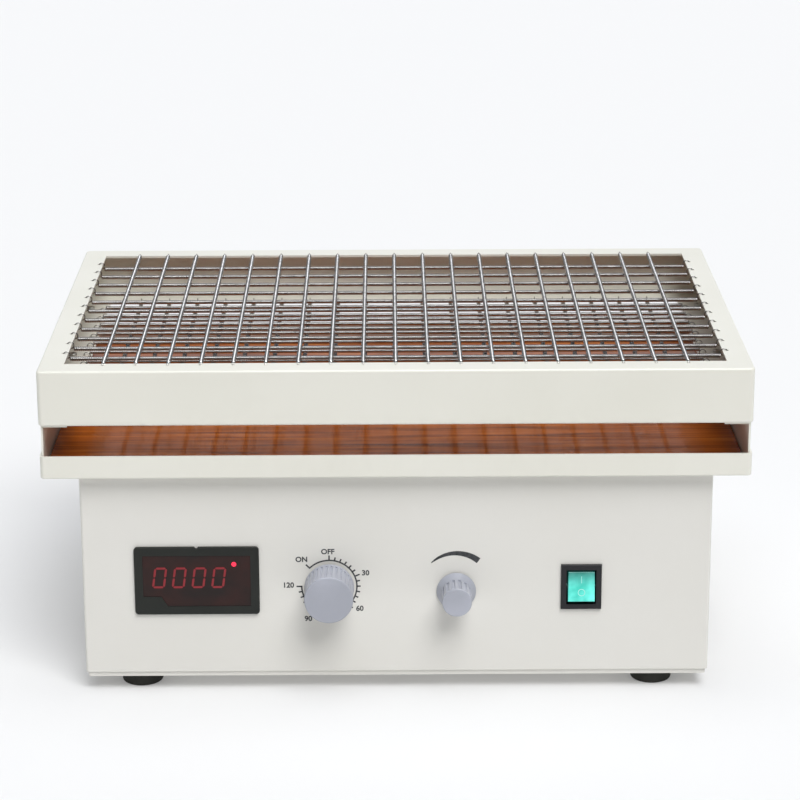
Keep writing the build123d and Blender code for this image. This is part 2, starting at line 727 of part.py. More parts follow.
def rear_panel():
    """The rear wall, set behind the housing's border, with its vents."""
    x = HOUSING_WIDTH / 2 - SHEET - REAR_BORDER + REAR_OVERLAP
    z0 = Z_HOUSING + REAR_BORDER - REAR_OVERLAP
    z1 = Z_HOUSING_TOP - SHEET - REAR_BORDER + REAR_OVERLAP
    panel = block(-x, x, REAR_INSIDE_Y, REAR_FACE_Y, z0, z1)
    middle = (z0 + z1) / 2
    for offset in net_rows(VENT_COUNT, VENT_PITCH):
        slot = Rot(90, 0, 0) * SlotOverall(VENT_LENGTH, VENT_WIDTH)
        slot = Pos(VENT_X, REAR_FACE_Y + 1, middle + offset) * slot
        panel -= extrude(slot, REAR_PANEL_THICKNESS + 2)
    panel -= panel_block(INLET_X, INLET_Z, INLET_WIDTH + 2 * FIT, INLET_TALL + 2 * FIT,
                         REAR_INSIDE_Y - 1, REAR_FACE_Y + 1)
    panel -= bar_y(FUSE_X, INLET_Z, REAR_INSIDE_Y - 1, REAR_FACE_Y + 1, FUSE_BODY_RADIUS + FIT)
    panel = drill(panel, inlet_screw_places(), M3, SHORT_SCREW + INLET_FLANGE)
    return drill(panel, rear_screw_places(), M3, SHORT_SCREW)


def base_plate():
    x = HOUSING_WIDTH / 2 - PLATE_INSET
    y = HOUSING_DEPTH / 2 - PLATE_INSET
    plate = block(-x, x, -y, y, Z_PLATE, Z_HOUSING)
    plate = fillet(plate.edges().filter_by(Axis.Z), HOUSING_CORNER)
    plate = drill(plate, foot_screw_places(), M5, FOOT_HEIGHT + PLATE_THICKNESS)
    plate = drill(plate, cover_screw_places(), M3, PLATE_THICKNESS + 2 * SHEET)
    deep = TOWER_FLANGE + PLATE_THICKNESS
    plate = drill(plate, tower_screw_places(), M4, deep)
    return drill(plate, stand_screw_places(), M4, STAND_SHEET + PLATE_THICKNESS)


def rubber_feet():
    feet = []
    for x, y in corners(FOOT_X, FOOT_Y):
        foot = Pos(x, y, FOOT_HEIGHT / 2) * Cone(FOOT_TIP_RADIUS, FOOT_RADIUS, FOOT_HEIGHT)
        foot = fillet(foot.edges().group_by(Axis.Z)[0], FOOT_EDGE)
        foot -= upright(x, y, -1, FOOT_RECESS_DEPTH, FOOT_RECESS_RADIUS)
        feet.append(foot - upright(x, y, 0, FOOT_HEIGHT + 1, M5 + SCREW_GAP))
    return group(feet)


def foot_screws():
    length = FOOT_HEIGHT - FOOT_RECESS_DEPTH + PLATE_THICKNESS
    return group(place * screw_m5(length) for place in foot_screw_places())


def cover_screws():
    low = [place * screw_m3(PLATE_THICKNESS + SHEET) for place in cover_screw_places()]
    rear = [place * screw_m3(SHEET + REAR_PANEL_THICKNESS) for place in rear_screw_places()]
    inlet = [place * screw_m3(INLET_FLANGE + REAR_PANEL_THICKNESS)
             for place in inlet_screw_places()]
    return group(low + rear + inlet)


# ---- Front panel ----------------------------------------------------------
def window_outline(gap):
    """The meter's window, with its lower left corner cut away."""
    x0 = METER_X - WINDOW_WIDTH / 2 + gap
    x1 = METER_X + WINDOW_WIDTH / 2 - gap
    z0 = METER_Z - WINDOW_TALL / 2 + gap
    z1 = METER_Z + WINDOW_TALL / 2 - gap
    notch_x = x0 + WINDOW_NOTCH_WIDTH
    notch_z = z0 + WINDOW_NOTCH_TALL
    points = [(x0, z1), (x1, z1), (x1, z0), (notch_x + WINDOW_NOTCH_SLOPE, z0),
              (notch_x, notch_z), (x0, notch_z)]
    return Plane.XZ * make_face(Polyline(*points, close=True))


def window_prism(gap, y0, y1):
    """The window's outline, filled from y0 back to y1."""
    return extrude(Pos(0, y1, 0) * window_outline(gap), y1 - y0)


def meter_face_y():
    return PANEL_Y - METER_PROUD


def display_bezel():
    """The meter's case: a bezel on the panel and a box behind it."""
    front = meter_face_y()
    bezel = panel_block(METER_X, METER_Z, METER_WIDTH, METER_TALL, front, PANEL_Y)
    bezel = fillet(bezel.edges().filter_by(Axis.Y), METER_CORNER)
    bezel = fillet(bezel.edges().group_by(Axis.Y)[0], METER_PROUD / 3)
    bezel -= bar_y(METER_X, METER_Z + METER_TALL / 2, front - 1, PANEL_Y + 1, METER_NICK)
    body = panel_block(METER_X, METER_Z, METER_BODY_WIDTH, METER_BODY_TALL, PANEL_Y,
                       PANEL_Y + METER_BODY_DEPTH)
    hollow = panel_block(METER_X, METER_Z, METER_BODY_WIDTH - 2 * METER_WALL,
                         METER_BODY_TALL - 2 * METER_WALL, PANEL_Y + METER_WALL,
                         PANEL_Y + METER_BODY_DEPTH - METER_WALL)
    return bezel + body - hollow - window_prism(0, front - 1, PANEL_Y + 2 * METER_WALL)


def display_window():
    y0 = meter_face_y() + WINDOW_RECESS
    return window_prism(FIT, y0, y0 + WINDOW_THICKNESS)


def digit_front_y():
    return meter_face_y() + WINDOW_RECESS + WINDOW_THICKNESS + METER_WALL


def digit_modules():
    """Four seven-segment digit blocks behind the window."""
    y0 = digit_front_y()
    z = Z_HOUSING + DIGIT_HEIGHT
    width = DIGIT_PITCH - SCREW_GAP
    return group(panel_block(DIGIT_FIRST_X + i * DIGIT_PITCH, z, width, DIGIT_TALL, y0,
                             y0 + DIGIT_DEPTH) for i in range(DIGIT_COUNT))


def display_board():
    """The circuit board that carries the digits."""
    y0 = digit_front_y() + DIGIT_DEPTH
    width = METER_BODY_WIDTH - 2 * METER_WALL - 2 * FIT
    tall = METER_BODY_TALL - 2 * METER_WALL - 2 * FIT
    return panel_block(METER_X, METER_Z, width, tall, y0, y0 + BOARD_SHEET)


def bushing(x, z):
    """The threaded bushing of a rotary control, through the panel."""
    return bar_y(x, z, PANEL_Y - BUSHING_PROUD, PANEL_Y + SHEET, BUSHING_RADIUS)


def knob_shaft(x, z, depth):
    """A control's shaft, from inside its knob back into its body."""
    return bar_y(x, z, PANEL_Y - KNOB_SHAFT_REACH, PANEL_Y + SHEET + depth, KNOB_SHAFT_RADIUS)


def shaft_bore(x, z, depth, clearance):
    y0 = PANEL_Y - KNOB_SHAFT_REACH - clearance
    return bar_y(x, z, y0, PANEL_Y + SHEET + depth + clearance, KNOB_SHAFT_RADIUS + clearance)


def timer_body():
    """The clockwork timer behind the panel."""
    y0 = PANEL_Y + SHEET
    body = panel_block(TIMER_X, TIMER_Z, TIMER_BODY, TIMER_BODY, y0, y0 + TIMER_BODY_DEPTH)
    body = chamfer(body.edges().group_by(Axis.Y)[-1], METER_WALL)
    body += bushing(TIMER_X, TIMER_Z)
    return body - shaft_bore(TIMER_X, TIMER_Z, TIMER_BODY_DEPTH / 2, RUNNING)


def speed_pot():
    """The speed control's potentiometer behind the panel."""
    y0 = PANEL_Y + SHEET
    body = bar_y(SPEED_X, SPEED_Z, y0, y0 + POT_DEPTH, POT_RADIUS)
    body += bushing(SPEED_X, SPEED_Z)
    return body - shaft_bore(SPEED_X, SPEED_Z, POT_DEPTH / 2, RUNNING)


def knob(x, z, stand_off, skirt_radius, skirt, grip_radius, length, flutes, flute_radius):
    """A knob with a flared skirt, a fluted grip and a plain flat cap."""
    back = PANEL_Y - stand_off
    neck = back - skirt
    front = back - length
    body = bar_y(x, z, front, back, grip_radius)
    body = fillet(body.edges().group_by(Axis.Y)[0], KNOB_RIM / 2)
    body += Pos(x, (neck + back) / 2, z) * Rot(90, 0, 0) * Cone(skirt_radius, grip_radius, skirt)
    for i in range(flutes):
        angle = 2 * math.pi * i / flutes
        fx = x + grip_radius * math.cos(angle)
        fz = z + grip_radius * math.sin(angle)
        body -= bar_y(fx, fz, front + KNOB_RIM, neck, flute_radius)
    return body


def timer_knob():
    body = knob(TIMER_X, TIMER_Z, TIMER_STAND_OFF, TIMER_KNOB_RADIUS, TIMER_SKIRT,
                TIMER_GRIP_RADIUS, TIMER_KNOB_LENGTH, TIMER_FLUTES, TIMER_FLUTE_RADIUS)
    return body - shaft_bore(TIMER_X, TIMER_Z, TIMER_BODY_DEPTH / 2, FIT)


def speed_knob():
    body = knob(SPEED_X, SPEED_Z, SPEED_STAND_OFF, SPEED_SKIRT_RADIUS, SPEED_SKIRT,
                SPEED_GRIP_RADIUS, SPEED_KNOB_LENGTH, SPEED_FLUTES, SPEED_FLUTE_RADIUS)
    return body - shaft_bore(SPEED_X, SPEED_Z, POT_DEPTH / 2, FIT)


def switch_frame():
    """The rocker switch's body, with the well that the rocker tilts in."""
    bezel = panel_block(SWITCH_X, SWITCH_Z, SWITCH_WIDTH, SWITCH_TALL, PANEL_Y - SWITCH_PROUD,
                        PANEL_Y)
    bezel = fillet(bezel.edges().group_by(Axis.Y)[0], SWITCH_PROUD / 3)
    body = panel_block(SWITCH_X, SWITCH_Z, SWITCH_BODY_WIDTH, SWITCH_BODY_TALL, PANEL_Y,
                       PANEL_Y + SWITCH_BODY_DEPTH)
    well = panel_block(SWITCH_X, SWITCH_Z, ROCKER_WIDTH + 2 * ROCKER_GAP,
                       ROCKER_TALL + 2 * ROCKER_SWING_GAP, PANEL_Y - 2 * SWITCH_PROUD,
                       PANEL_Y + SWITCH_WELL_DEPTH)
    pivots = bar_x(PANEL_Y + ROCKER_PIVOT_DEPTH, SWITCH_Z, SWITCH_X - SWITCH_BODY_WIDTH,
                   SWITCH_X + SWITCH_BODY_WIDTH, ROCKER_PIN_RADIUS + RUNNING)
    return bezel + body - well - pivots


def power_rocker():
    """The lit rocker on its two pins, tilted with its upper half pressed in."""
    half = ROCKER_TALL / 2
    points = [(-ROCKER_FACE, -half), (-ROCKER_FACE, half), (ROCKER_DEPTH / 4, half),
              (ROCKER_DEPTH, half / 2), (ROCKER_DEPTH, -half / 2), (ROCKER_DEPTH / 4, -half)]
    side = Plane.YZ * make_face(Polyline(*points, close=True))
    rocker = extrude(side, ROCKER_WIDTH / 2, both=True)
    rocker = fillet(rocker.edges().group_by(Axis.Y)[0], METER_WALL / 2)
    reach = SWITCH_BODY_WIDTH / 2 - ROCKER_PIN_INSET
    rocker += bar_x(0, 0, -reach, reach, ROCKER_PIN_RADIUS)
    pivot = Pos(SWITCH_X, PANEL_Y + ROCKER_PIVOT_DEPTH, SWITCH_Z)
    return pivot * Rot(-ROCKER_TILT, 0, 0) * rocker


# ---- Rear fittings --------------------------------------------------------
def power_inlet():
    """The three-pin appliance inlet."""
    outer = REAR_FACE_Y + INLET_FLANGE
    flange = panel_block(INLET_X, INLET_Z, INLET_FLANGE_WIDTH, INLET_FLANGE_TALL, REAR_FACE_Y,
                         outer)
    flange = fillet(flange.edges().filter_by(Axis.Y), INLET_FLANGE)
    body = panel_block(INLET_X, INLET_Z, INLET_WIDTH, INLET_TALL, outer - INLET_DEPTH, outer)
    cavity = panel_block(INLET_X, INLET_Z, INLET_CAVITY_WIDTH, INLET_CAVITY_TALL,
                         outer - INLET_CAVITY_DEPTH, outer + 1)
    lower = cavity.edges().filter_by(Axis.Y).group_by(Axis.Z)[-1]
    inlet = flange + body - chamfer(lower, INLET_FLANGE)
    for dx, dz in ((-PIN_SPACING, 1), (0, -1), (PIN_SPACING, 1)):
        pin = panel_block(INLET_X + dx, INLET_Z - dz * PIN_WIDTH, PIN_WIDTH, PIN_TALL,
                          outer - INLET_CAVITY_DEPTH,
                          outer - INLET_CAVITY_DEPTH + PIN_LENGTH)
        inlet += pin
    return drill(inlet, inlet_screw_places(), M3, SHORT_SCREW)


def fuse_holder():
    y0 = REAR_FACE_Y
    holder = bar_y(FUSE_X, INLET_Z, y0, y0 + FUSE_FLANGE, FUSE_FLANGE_RADIUS)
    holder += bar_y(FUSE_X, INLET_Z, y0 - FUSE_BODY_DEPTH, y0, FUSE_BODY_RADIUS)
    return holder - bar_y(FUSE_X, INLET_Z, y0 - FUSE_PLUG_DEPTH - TURNING_GAP, y0 + FUSE_FLANGE + 1,
                          FUSE_PLUG_RADIUS + RUNNING)


def fuse_cap():
    """The bayonet cap that holds the fuse, with its screwdriver slot."""
    y0 = REAR_FACE_Y + FUSE_FLANGE + TURNING_GAP
    cap = bar_y(FUSE_X, INLET_Z, y0, y0 + FUSE_CAP_LENGTH, FUSE_CAP_RADIUS)
    cap = fillet(cap.edges().group_by(Axis.Y)[-1], RECESS_WIDTH)
    cap -= panel_block(FUSE_X, INLET_Z, 2 * FUSE_CAP_RADIUS, 2 * RECESS_WIDTH,
                       y0 + FUSE_CAP_LENGTH - FUSE_FLANGE, y0 + FUSE_CAP_LENGTH + 1)
    return cap + bar_y(FUSE_X, INLET_Z, REAR_FACE_Y - FUSE_PLUG_DEPTH, y0, FUSE_PLUG_RADIUS)


# ---- Drive ----------------------------------------------------------------
def bearing_levels():
    """The lower faces of the two crankshaft bearings."""
    return [Z_HOUSING + TOWER_FLANGE, Z_TOWER_TOP - BEARING_WIDTH]


def bearing_housing():
    """The flanged tower that carries the crankshaft's bearings."""
    tower = upright(0, 0, Z_HOUSING, Z_HOUSING + TOWER_FLANGE, TOWER_FLANGE_RADIUS)
    tower += upright(0, 0, Z_HOUSING, Z_TOWER_TOP, TOWER_RADIUS)
    tower -= upright(0, 0, Z_HOUSING + TOWER_FLANGE, Z_TOWER_TOP + 1, BEARING_RADIUS + FIT)
    return drill(tower, tower_screw_places(), M4, TOWER_FLANGE + PLATE_THICKNESS)


def bearing_outer_rings():
    rings = []
    for z in bearing_levels():
        ring = upright(0, 0, z, z + BEARING_WIDTH, BEARING_RADIUS)
        rings.append(ring - upright(0, 0, z - 1, z + BEARING_WIDTH + 1,
                                    BEARING_INNER_RADIUS + RUNNING))
    return group(rings)


def bearing_inner_rings():
    rings = []
    for z in bearing_levels():
        ring = upright(0, 0, z, z + BEARING_WIDTH, BEARING_INNER_RADIUS)
        rings.append(ring - upright(0, 0, z - 1, z + BEARING_WIDTH + 1, SHAFT_RADIUS + FIT))
    return group(rings)


def crankshaft():
    z0 = Z_HOUSING + TOWER_FLANGE + TURNING_GAP
    shaft = upright(0, 0, z0, Z_DISC + DISC_THICKNESS, SHAFT_RADIUS)
    return chamfer(shaft.edges().group_by(Axis.Z)[0], RECESS_WIDTH)


def pulley(x, radius, bore):
    """A flanged belt pulley."""
    z1 = Z_PULLEY + PULLEY_WIDTH
    body = upright(x, 0, Z_PULLEY, z1, radius)
    body += upright(x, 0, Z_PULLEY, Z_PULLEY + PULLEY_RIM, radius + PULLEY_FLANGE)
    body += upright(x, 0, z1 - PULLEY_RIM, z1, radius + PULLEY_FLANGE)
    return body - upright(x, 0, Z_PULLEY - 1, z1 + 1, bore)


def driven_pulley():
    wheel = pulley(0, PULLEY_RADIUS, SHAFT_RADIUS + FIT)
    reach = (PULLEY_RADIUS + SHAFT_RADIUS) / 2
    hole = upright(reach, 0, Z_PULLEY - 1, Z_PULLEY + PULLEY_WIDTH + 1, reach / 3)
    return wheel - ring_of(hole, PULLEY_HOLES)


def crank_disc():
    """The balanced disc that carries the crank pin."""
    disc = upright(0, 0, Z_DISC, Z_DISC + DISC_THICKNESS, DISC_RADIUS)
    disc += upright(0, 0, Z_PULLEY + PULLEY_WIDTH, Z_DISC, SHAFT_RADIUS + DISC_LIFT)
    disc -= upright(0, 0, Z_PULLEY, Z_DISC + DISC_THICKNESS - DISC_LIFT / 2, SHAFT_RADIUS + FIT)
    disc -= upright(0, 0, Z_DISC, Z_DISC + DISC_THICKNESS + 1, SHAFT_RADIUS + FIT)
    cut = block(-DISC_RADIUS, DISC_RADIUS, -DISC_RADIUS, -CRANK_THROW - 2 * CRANK_PIN_RADIUS,
                Z_DISC - 1, Z_DISC + DISC_THICKNESS + 1)
    disc -= cut
    return disc - upright(0, -CRANK_THROW, Z_DISC + DISC_THICKNESS / 2,
                          Z_DISC + DISC_THICKNESS + 1, CRANK_PIN_RADIUS + FIT)


def crank_pin():
    z1 = Z_ROLLER + ROLLER_WIDTH
    pin = upright(0, -CRANK_THROW, Z_DISC + DISC_THICKNESS, z1, CRANK_PIN_RADIUS)
    shoulder = CRANK_PIN_RADIUS + RECESS_WIDTH
    pin += upright(0, -CRANK_THROW, Z_DISC + DISC_THICKNESS, Z_ROLLER - TURNING_GAP, shoulder)
    return pin + upright(0, -CRANK_THROW, z1 + TURNING_GAP / 2, z1 + PULLEY_RIM, shoulder) + \
        upright(0, -CRANK_THROW, z1, z1 + PULLEY_RIM, CRANK_PIN_RADIUS)


def cam_roller():
    roller = upright(0, -CRANK_THROW, Z_ROLLER, Z_ROLLER + ROLLER_WIDTH, ROLLER_RADIUS)
    rims = roller.edges().group_by(Axis.Z)
    roller = fillet(rims[0] + rims[-1], RECESS_WIDTH / 2)
    return roller - upright(0, -CRANK_THROW, Z_ROLLER - 1, Z_ROLLER + ROLLER_WIDTH + 1,
                            CRANK_PIN_RADIUS + FIT)


def motor_case():
    z1 = motor_stand_top() - STAND_SHEET
    z0 = z1 - MOTOR_HEIGHT
    case = upright(MOTOR_X, 0, z0, z1, MOTOR_RADIUS)
    rims = case.edges().group_by(Axis.Z)
    case = fillet(rims[0] + rims[-1], STAND_SHEET)
    case -= upright(MOTOR_X, 0, z1 - MOTOR_SHAFT_DEPTH, z1 + 1, MOTOR_SHAFT_RADIUS + RUNNING)
    return drill(case, motor_screw_places(), M4, STAND_SHEET + SHORT_SCREW)


def motor_shaft():
    z0 = motor_stand_top() - STAND_SHEET - MOTOR_SHAFT_DEPTH + TURNING_GAP
    return upright(MOTOR_X, 0, z0, Z_PULLEY + PULLEY_WIDTH + PULLEY_RIM, MOTOR_SHAFT_RADIUS)


def motor_pulley():
    return pulley(MOTOR_X, MOTOR_PULLEY_RADIUS, MOTOR_SHAFT_RADIUS + FIT)


def motor_stand():
    """The bent bracket that the motor hangs under."""
    z1 = motor_stand_top()
    x0 = MOTOR_X - MOTOR_STAND_WIDTH / 2
    x1 = MOTOR_X + MOTOR_STAND_WIDTH / 2
    y = MOTOR_STAND_DEPTH / 2
    stand = block(x0, x1, -y, y, z1 - STAND_SHEET, z1)
    foot_z = Z_HOUSING + STAND_SHEET
    for side in (-1, 1):
        leg = block(x0, x1, y - STAND_SHEET, y, Z_HOUSING, z1)
        leg += block(x0, x1, y - STAND_SHEET, y + MOTOR_STAND_FOOT, Z_HOUSING, foot_z)
        stand += leg if side > 0 else leg.mirror(Plane.XZ)
    stand -= upright(MOTOR_X, 0, z1 - 2 * STAND_SHEET, z1 + 1, 2 * MOTOR_SHAFT_RADIUS)
    stand = drill(stand, motor_screw_places(), M4, STAND_SHEET + 1)
    return drill(stand, stand_screw_places(), M4, STAND_SHEET + 1)


def chassis_screws():
    """The equal screws of the motor, the bearing tower and the stands."""
    motor = [place * screw_m4(STAND_SHEET + SHORT_SCREW - SCREW_GAP)
             for place in motor_screw_places()]
    tower = [place * screw_m4(TOWER_FLANGE + PLATE_THICKNESS) for place in tower_screw_places()]
    stands = [place * screw_m4(STAND_SHEET + PLATE_THICKNESS) for place in stand_screw_places()]
    return group(motor + tower + stands)


def belt_outline(extra):
    """The belt's path round both pulleys, offset outward."""
    discs = Circle(PULLEY_RADIUS + extra) + Pos(MOTOR_X, 0) * Circle(MOTOR_PULLEY_RADIUS + extra)
    return make_face(make_hull(discs.edges()))


def drive_belt():
    z0 = Z_PULLEY + (PULLEY_WIDTH - BELT_WIDTH) / 2
    outer = extrude(Pos(0, 0, z0) * belt_outline(BELT_GAP + BELT_THICKNESS), BELT_WIDTH)
    return outer - extrude(Pos(0, 0, z0 - 1) * belt_outline(BELT_GAP), BELT_WIDTH + 2)


def speed_sensor():
    """The pickup that reads the driven pulley, on its own post."""
    edge = -PULLEY_RADIUS - PULLEY_FLANGE - SENSOR_GAP
    post = edge - SENSOR_WIDTH
    head = block(post, edge, -SENSOR_WIDTH / 2, SENSOR_WIDTH / 2, Z_PULLEY,
                 Z_PULLEY + PULLEY_WIDTH)
    leg = block(post, post + STAND_SHEET, -SENSOR_WIDTH / 2, SENSOR_WIDTH / 2, Z_HOUSING,
                Z_PULLEY + PULLEY_WIDTH)
    foot = block(post, edge + STAND_SHEET, -SENSOR_WIDTH / 2, SENSOR_WIDTH / 2, Z_HOUSING,
                 Z_HOUSING + STAND_SHEET)
    return head + leg + foot


# ---- Guides ---------------------------------------------------------------
def guide_rods():
    rods = []
    for y in (-ROD_Y, ROD_Y):
        rod = bar_x(y, Z_ROD, -ROD_LENGTH / 2, ROD_LENGTH / 2, ROD_RADIUS)
        rods.append(chamfer(rod.edges().filter_by(GeomType.CIRCLE), RECESS_WIDTH))
    return group(rods)


def stand_top():
    return Z_ROD - ROD_RADIUS - SUPPORT_TOP


def rod_supports():
    """The blocks that hold the guide rods' ends."""
    supports = []
    height = Z_ROD + ROD_RADIUS + SUPPORT_TOP / 2 - stand_top()
    for x, y in corners(SUPPORT_X, ROD_Y):
        body = centred_block(x, y, stand_top(), SUPPORT_THICKNESS, SUPPORT_WIDTH, height)
        body = chamfer(body.edges().filter_by(Axis.X).group_by(Axis.Z)[-1], SUPPORT_TOP)
        supports.append(body - bar_x(y, Z_ROD, x - SUPPORT_THICKNESS, x + SUPPORT_THICKNESS,
                                     ROD_RADIUS + FIT))
    return group(supports)


def rod_stand(side):
    """A bent channel that carries the supports above the base plate."""
    y = STAND_LENGTH / 2
    z1 = stand_top()
    web = block(STAND_X, STAND_X + STAND_SHEET, -y, y, Z_HOUSING, z1)
    foot = block(STAND_X, STAND_X + STAND_FLANGE, -y, y, Z_HOUSING, Z_HOUSING + STAND_SHEET)
    top = block(STAND_X + STAND_SHEET - STAND_FLANGE, STAND_X + STAND_SHEET, -y, y,
                z1 - STAND_SHEET, z1)
    stand = web + foot + top
    if side < 0:
        stand = stand.mirror(Plane.YZ)
    return drill(stand, stand_screw_places(), M4, STAND_SHEET + 1)


# ---- Electrical pieces ----------------------------------------------------
def transformer():
    """A laminated core with its winding, standing on the base plate."""
    core = centred_block(TRANSFORMER_X, TRANSFORMER_Y, Z_HOUSING, TRANSFORMER_CORE,
                         TRANSFORMER_DEPTH, TRANSFORMER_HEIGHT)
    depth = TRANSFORMER_DEPTH + 2 * COIL_BULGE
    coil = centred_block(TRANSFORMER_X, TRANSFORMER_Y, Z_HOUSING + COIL_BULGE,
                         COIL_WIDTH, depth, TRANSFORMER_HEIGHT - 2 * COIL_BULGE)
    coil = fillet(coil.edges().filter_by(Axis.Z), COIL_CORNER)
    return core + coil


def control_board():
    """The speed controller: a board on standoffs, with its heat sink and capacitor."""
    z0 = Z_HOUSING + STANDOFF_HEIGHT
    z1 = z0 + BOARD_SHEET
    board = centred_block(BOARD_X, BOARD_Y, z0, BOARD_WIDTH, BOARD_DEPTH, BOARD_SHEET)
    x = BOARD_WIDTH / 2 - 2 * STANDOFF_RADIUS
    y = BOARD_DEPTH / 2 - 2 * STANDOFF_RADIUS
    for dx, dy in corners(x, y):
        board += upright(BOARD_X + dx, BOARD_Y + dy, Z_HOUSING, z0, STANDOFF_RADIUS)
    board += upright(BOARD_X - x / 2, BOARD_Y, z1, z1 + CAPACITOR_HEIGHT, CAPACITOR_RADIUS)
    sink_x = BOARD_X + x / 2
    sink_top = z1 + HEAT_SINK_HEIGHT
    sink = block(sink_x, sink_x + STAND_SHEET, BOARD_Y - HEAT_SINK_DEPTH / 2,
                 BOARD_Y + HEAT_SINK_DEPTH / 2, z1, sink_top)
    for dy in net_rows(HEAT_SINK_FINS, 2 * STANDOFF_RADIUS):
        sink += block(sink_x, sink_x + CAPACITOR_RADIUS, BOARD_Y + dy, BOARD_Y + dy + METER_WALL,
                      z1, sink_top)
    return board + sink


NODES = {
    "tray_pan": tray_pan,
    "tray_board": tray_board,
    "tray_screws": tray_screws,
    "side_bracket_left": lambda: side_bracket(-1),
    "side_bracket_right": lambda: side_bracket(1),
    "spring_frame": spring_frame,
    "frame_screws": frame_screws,
    "upper_cross_springs": lambda: cross_springs(Z_UPPER_NET, True),
    "upper_long_springs": lambda: long_springs(Z_UPPER_NET, True),
    "lower_cross_springs": lambda: cross_springs(Z_LOWER_NET, False),
    "lower_long_springs": lambda: long_springs(Z_LOWER_NET, False),
    "carriage_plate": carriage_plate,
    "yoke_block": yoke_block,
    "bearing_blocks": bearing_blocks,
    "linear_bushes": linear_bushes,
    "platform_posts": platform_posts,
    "platform_screws": platform_screws,
    "carriage_screws": carriage_screws,
    "housing": housing,
    "rear_panel": rear_panel,
    "base_plate": base_plate,
    "rubber_feet": rubber_feet,
    "foot_screws": foot_screws,
    "cover_screws": cover_screws,
    "display_bezel": display_bezel,
    "display_window": display_window,
    "display_board": display_board,
    "digit_modules": digit_modules,
    "timer_body": timer_body,
    "speed_pot": speed_pot,
    "switch_frame": switch_frame,
    "control_board": control_board,
    "transformer": transformer,
    "motor_case": motor_case,
    "motor_stand": motor_stand,
    "chassis_screws": chassis_screws,
    "bearing_housing": bearing_housing,
    "bearing_outer_rings": bearing_outer_rings,
    "drive_belt": drive_belt,
    "guide_rods": guide_rods,
    "rod_supports": rod_supports,
    "rod_stand_left": lambda: rod_stand(-1),
    "rod_stand_right": lambda: rod_stand(1),
    "power_inlet": power_inlet,
    "fuse_holder": fuse_holder,
    "speed_sensor": speed_sensor,
    "crankshaft": crankshaft,
    "driven_pulley": driven_pulley,
    "crank_disc": crank_disc,
    "crank_pin": crank_pin,
    "cam_roller": cam_roller,
    "bearing_inner_rings": bearing_inner_rings,
    "motor_shaft": motor_shaft,
    "motor_pulley": motor_pulley,
    "timer_knob": timer_knob,
    "timer_shaft": lambda: knob_shaft(TIMER_X, TIMER_Z, TIMER_BODY_DEPTH / 2),
    "speed_knob": speed_knob,
    "speed_shaft": lambda: knob_shaft(SPEED_X, SPEED_Z, POT_DEPTH / 2),
    "power_rocker": power_rocker,
    "fuse_cap": fuse_cap,
}

os.makedirs("parts", exist_ok=True)
for name, make in NODES.items():
    export_step(Pos(0, CENTRE_SHIFT, 0) * make(), f"parts/{name}.step")
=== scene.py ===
import json
import math

import bpy
import bmesh
import numpy as np
from mathutils import Matrix, Vector


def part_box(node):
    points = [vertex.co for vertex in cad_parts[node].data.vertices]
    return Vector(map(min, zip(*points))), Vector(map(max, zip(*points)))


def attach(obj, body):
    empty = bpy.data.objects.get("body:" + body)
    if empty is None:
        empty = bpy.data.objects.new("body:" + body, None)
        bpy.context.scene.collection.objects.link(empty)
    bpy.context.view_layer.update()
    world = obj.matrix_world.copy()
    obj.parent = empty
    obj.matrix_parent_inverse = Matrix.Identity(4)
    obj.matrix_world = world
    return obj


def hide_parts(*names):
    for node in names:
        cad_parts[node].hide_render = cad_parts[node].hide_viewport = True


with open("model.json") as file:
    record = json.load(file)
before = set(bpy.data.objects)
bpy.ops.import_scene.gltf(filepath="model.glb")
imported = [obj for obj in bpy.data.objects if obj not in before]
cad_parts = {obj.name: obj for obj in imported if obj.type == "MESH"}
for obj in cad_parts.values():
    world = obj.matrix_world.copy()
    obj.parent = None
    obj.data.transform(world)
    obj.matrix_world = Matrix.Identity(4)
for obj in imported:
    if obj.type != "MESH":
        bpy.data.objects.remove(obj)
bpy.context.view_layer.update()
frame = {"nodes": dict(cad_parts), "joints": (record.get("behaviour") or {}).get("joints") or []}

MM = 0.001

# ---- Sizes, in metres -----------------------------------------------------
SPRING_RADIUS = 1.55 * MM
SPRING_WIRE = 0.7 * MM      # wire's diameter
CROSS_SPRINGS = 19          # run front to back
LONG_SPRINGS = 11           # run left to right
COIL_PITCH = 1.2 * MM
COIL_SIDES = 8
COIL_RINGS = 4              # rings of points in each turn of a coil
TOP_COIL_RINGS = 6          # the same, for the springs that lie on top
COIL_GROOVE = 0.48 * MM     # depth of the groove between two turns
MOST_FACES = 95_000         # quads in one piece of the net
LOOP_RADIUS = 2.2 * MM
LOOP_REACH = 3.2 * MM       # middle of a loop's outermost wire beyond the frame's opening
LOOP_TOP = 2.05 * MM        # top of a loop above the middle of its flange
CROSS_RISE = 0.4 * MM       # axis of a front-to-back spring above that middle
LAYER_STEP = 3.3 * MM
COIL_END_GAP = 0.9 * MM     # from a coil's end to the frame's opening
LOOP_STEPS = 14
LOOP_SIDES = 6

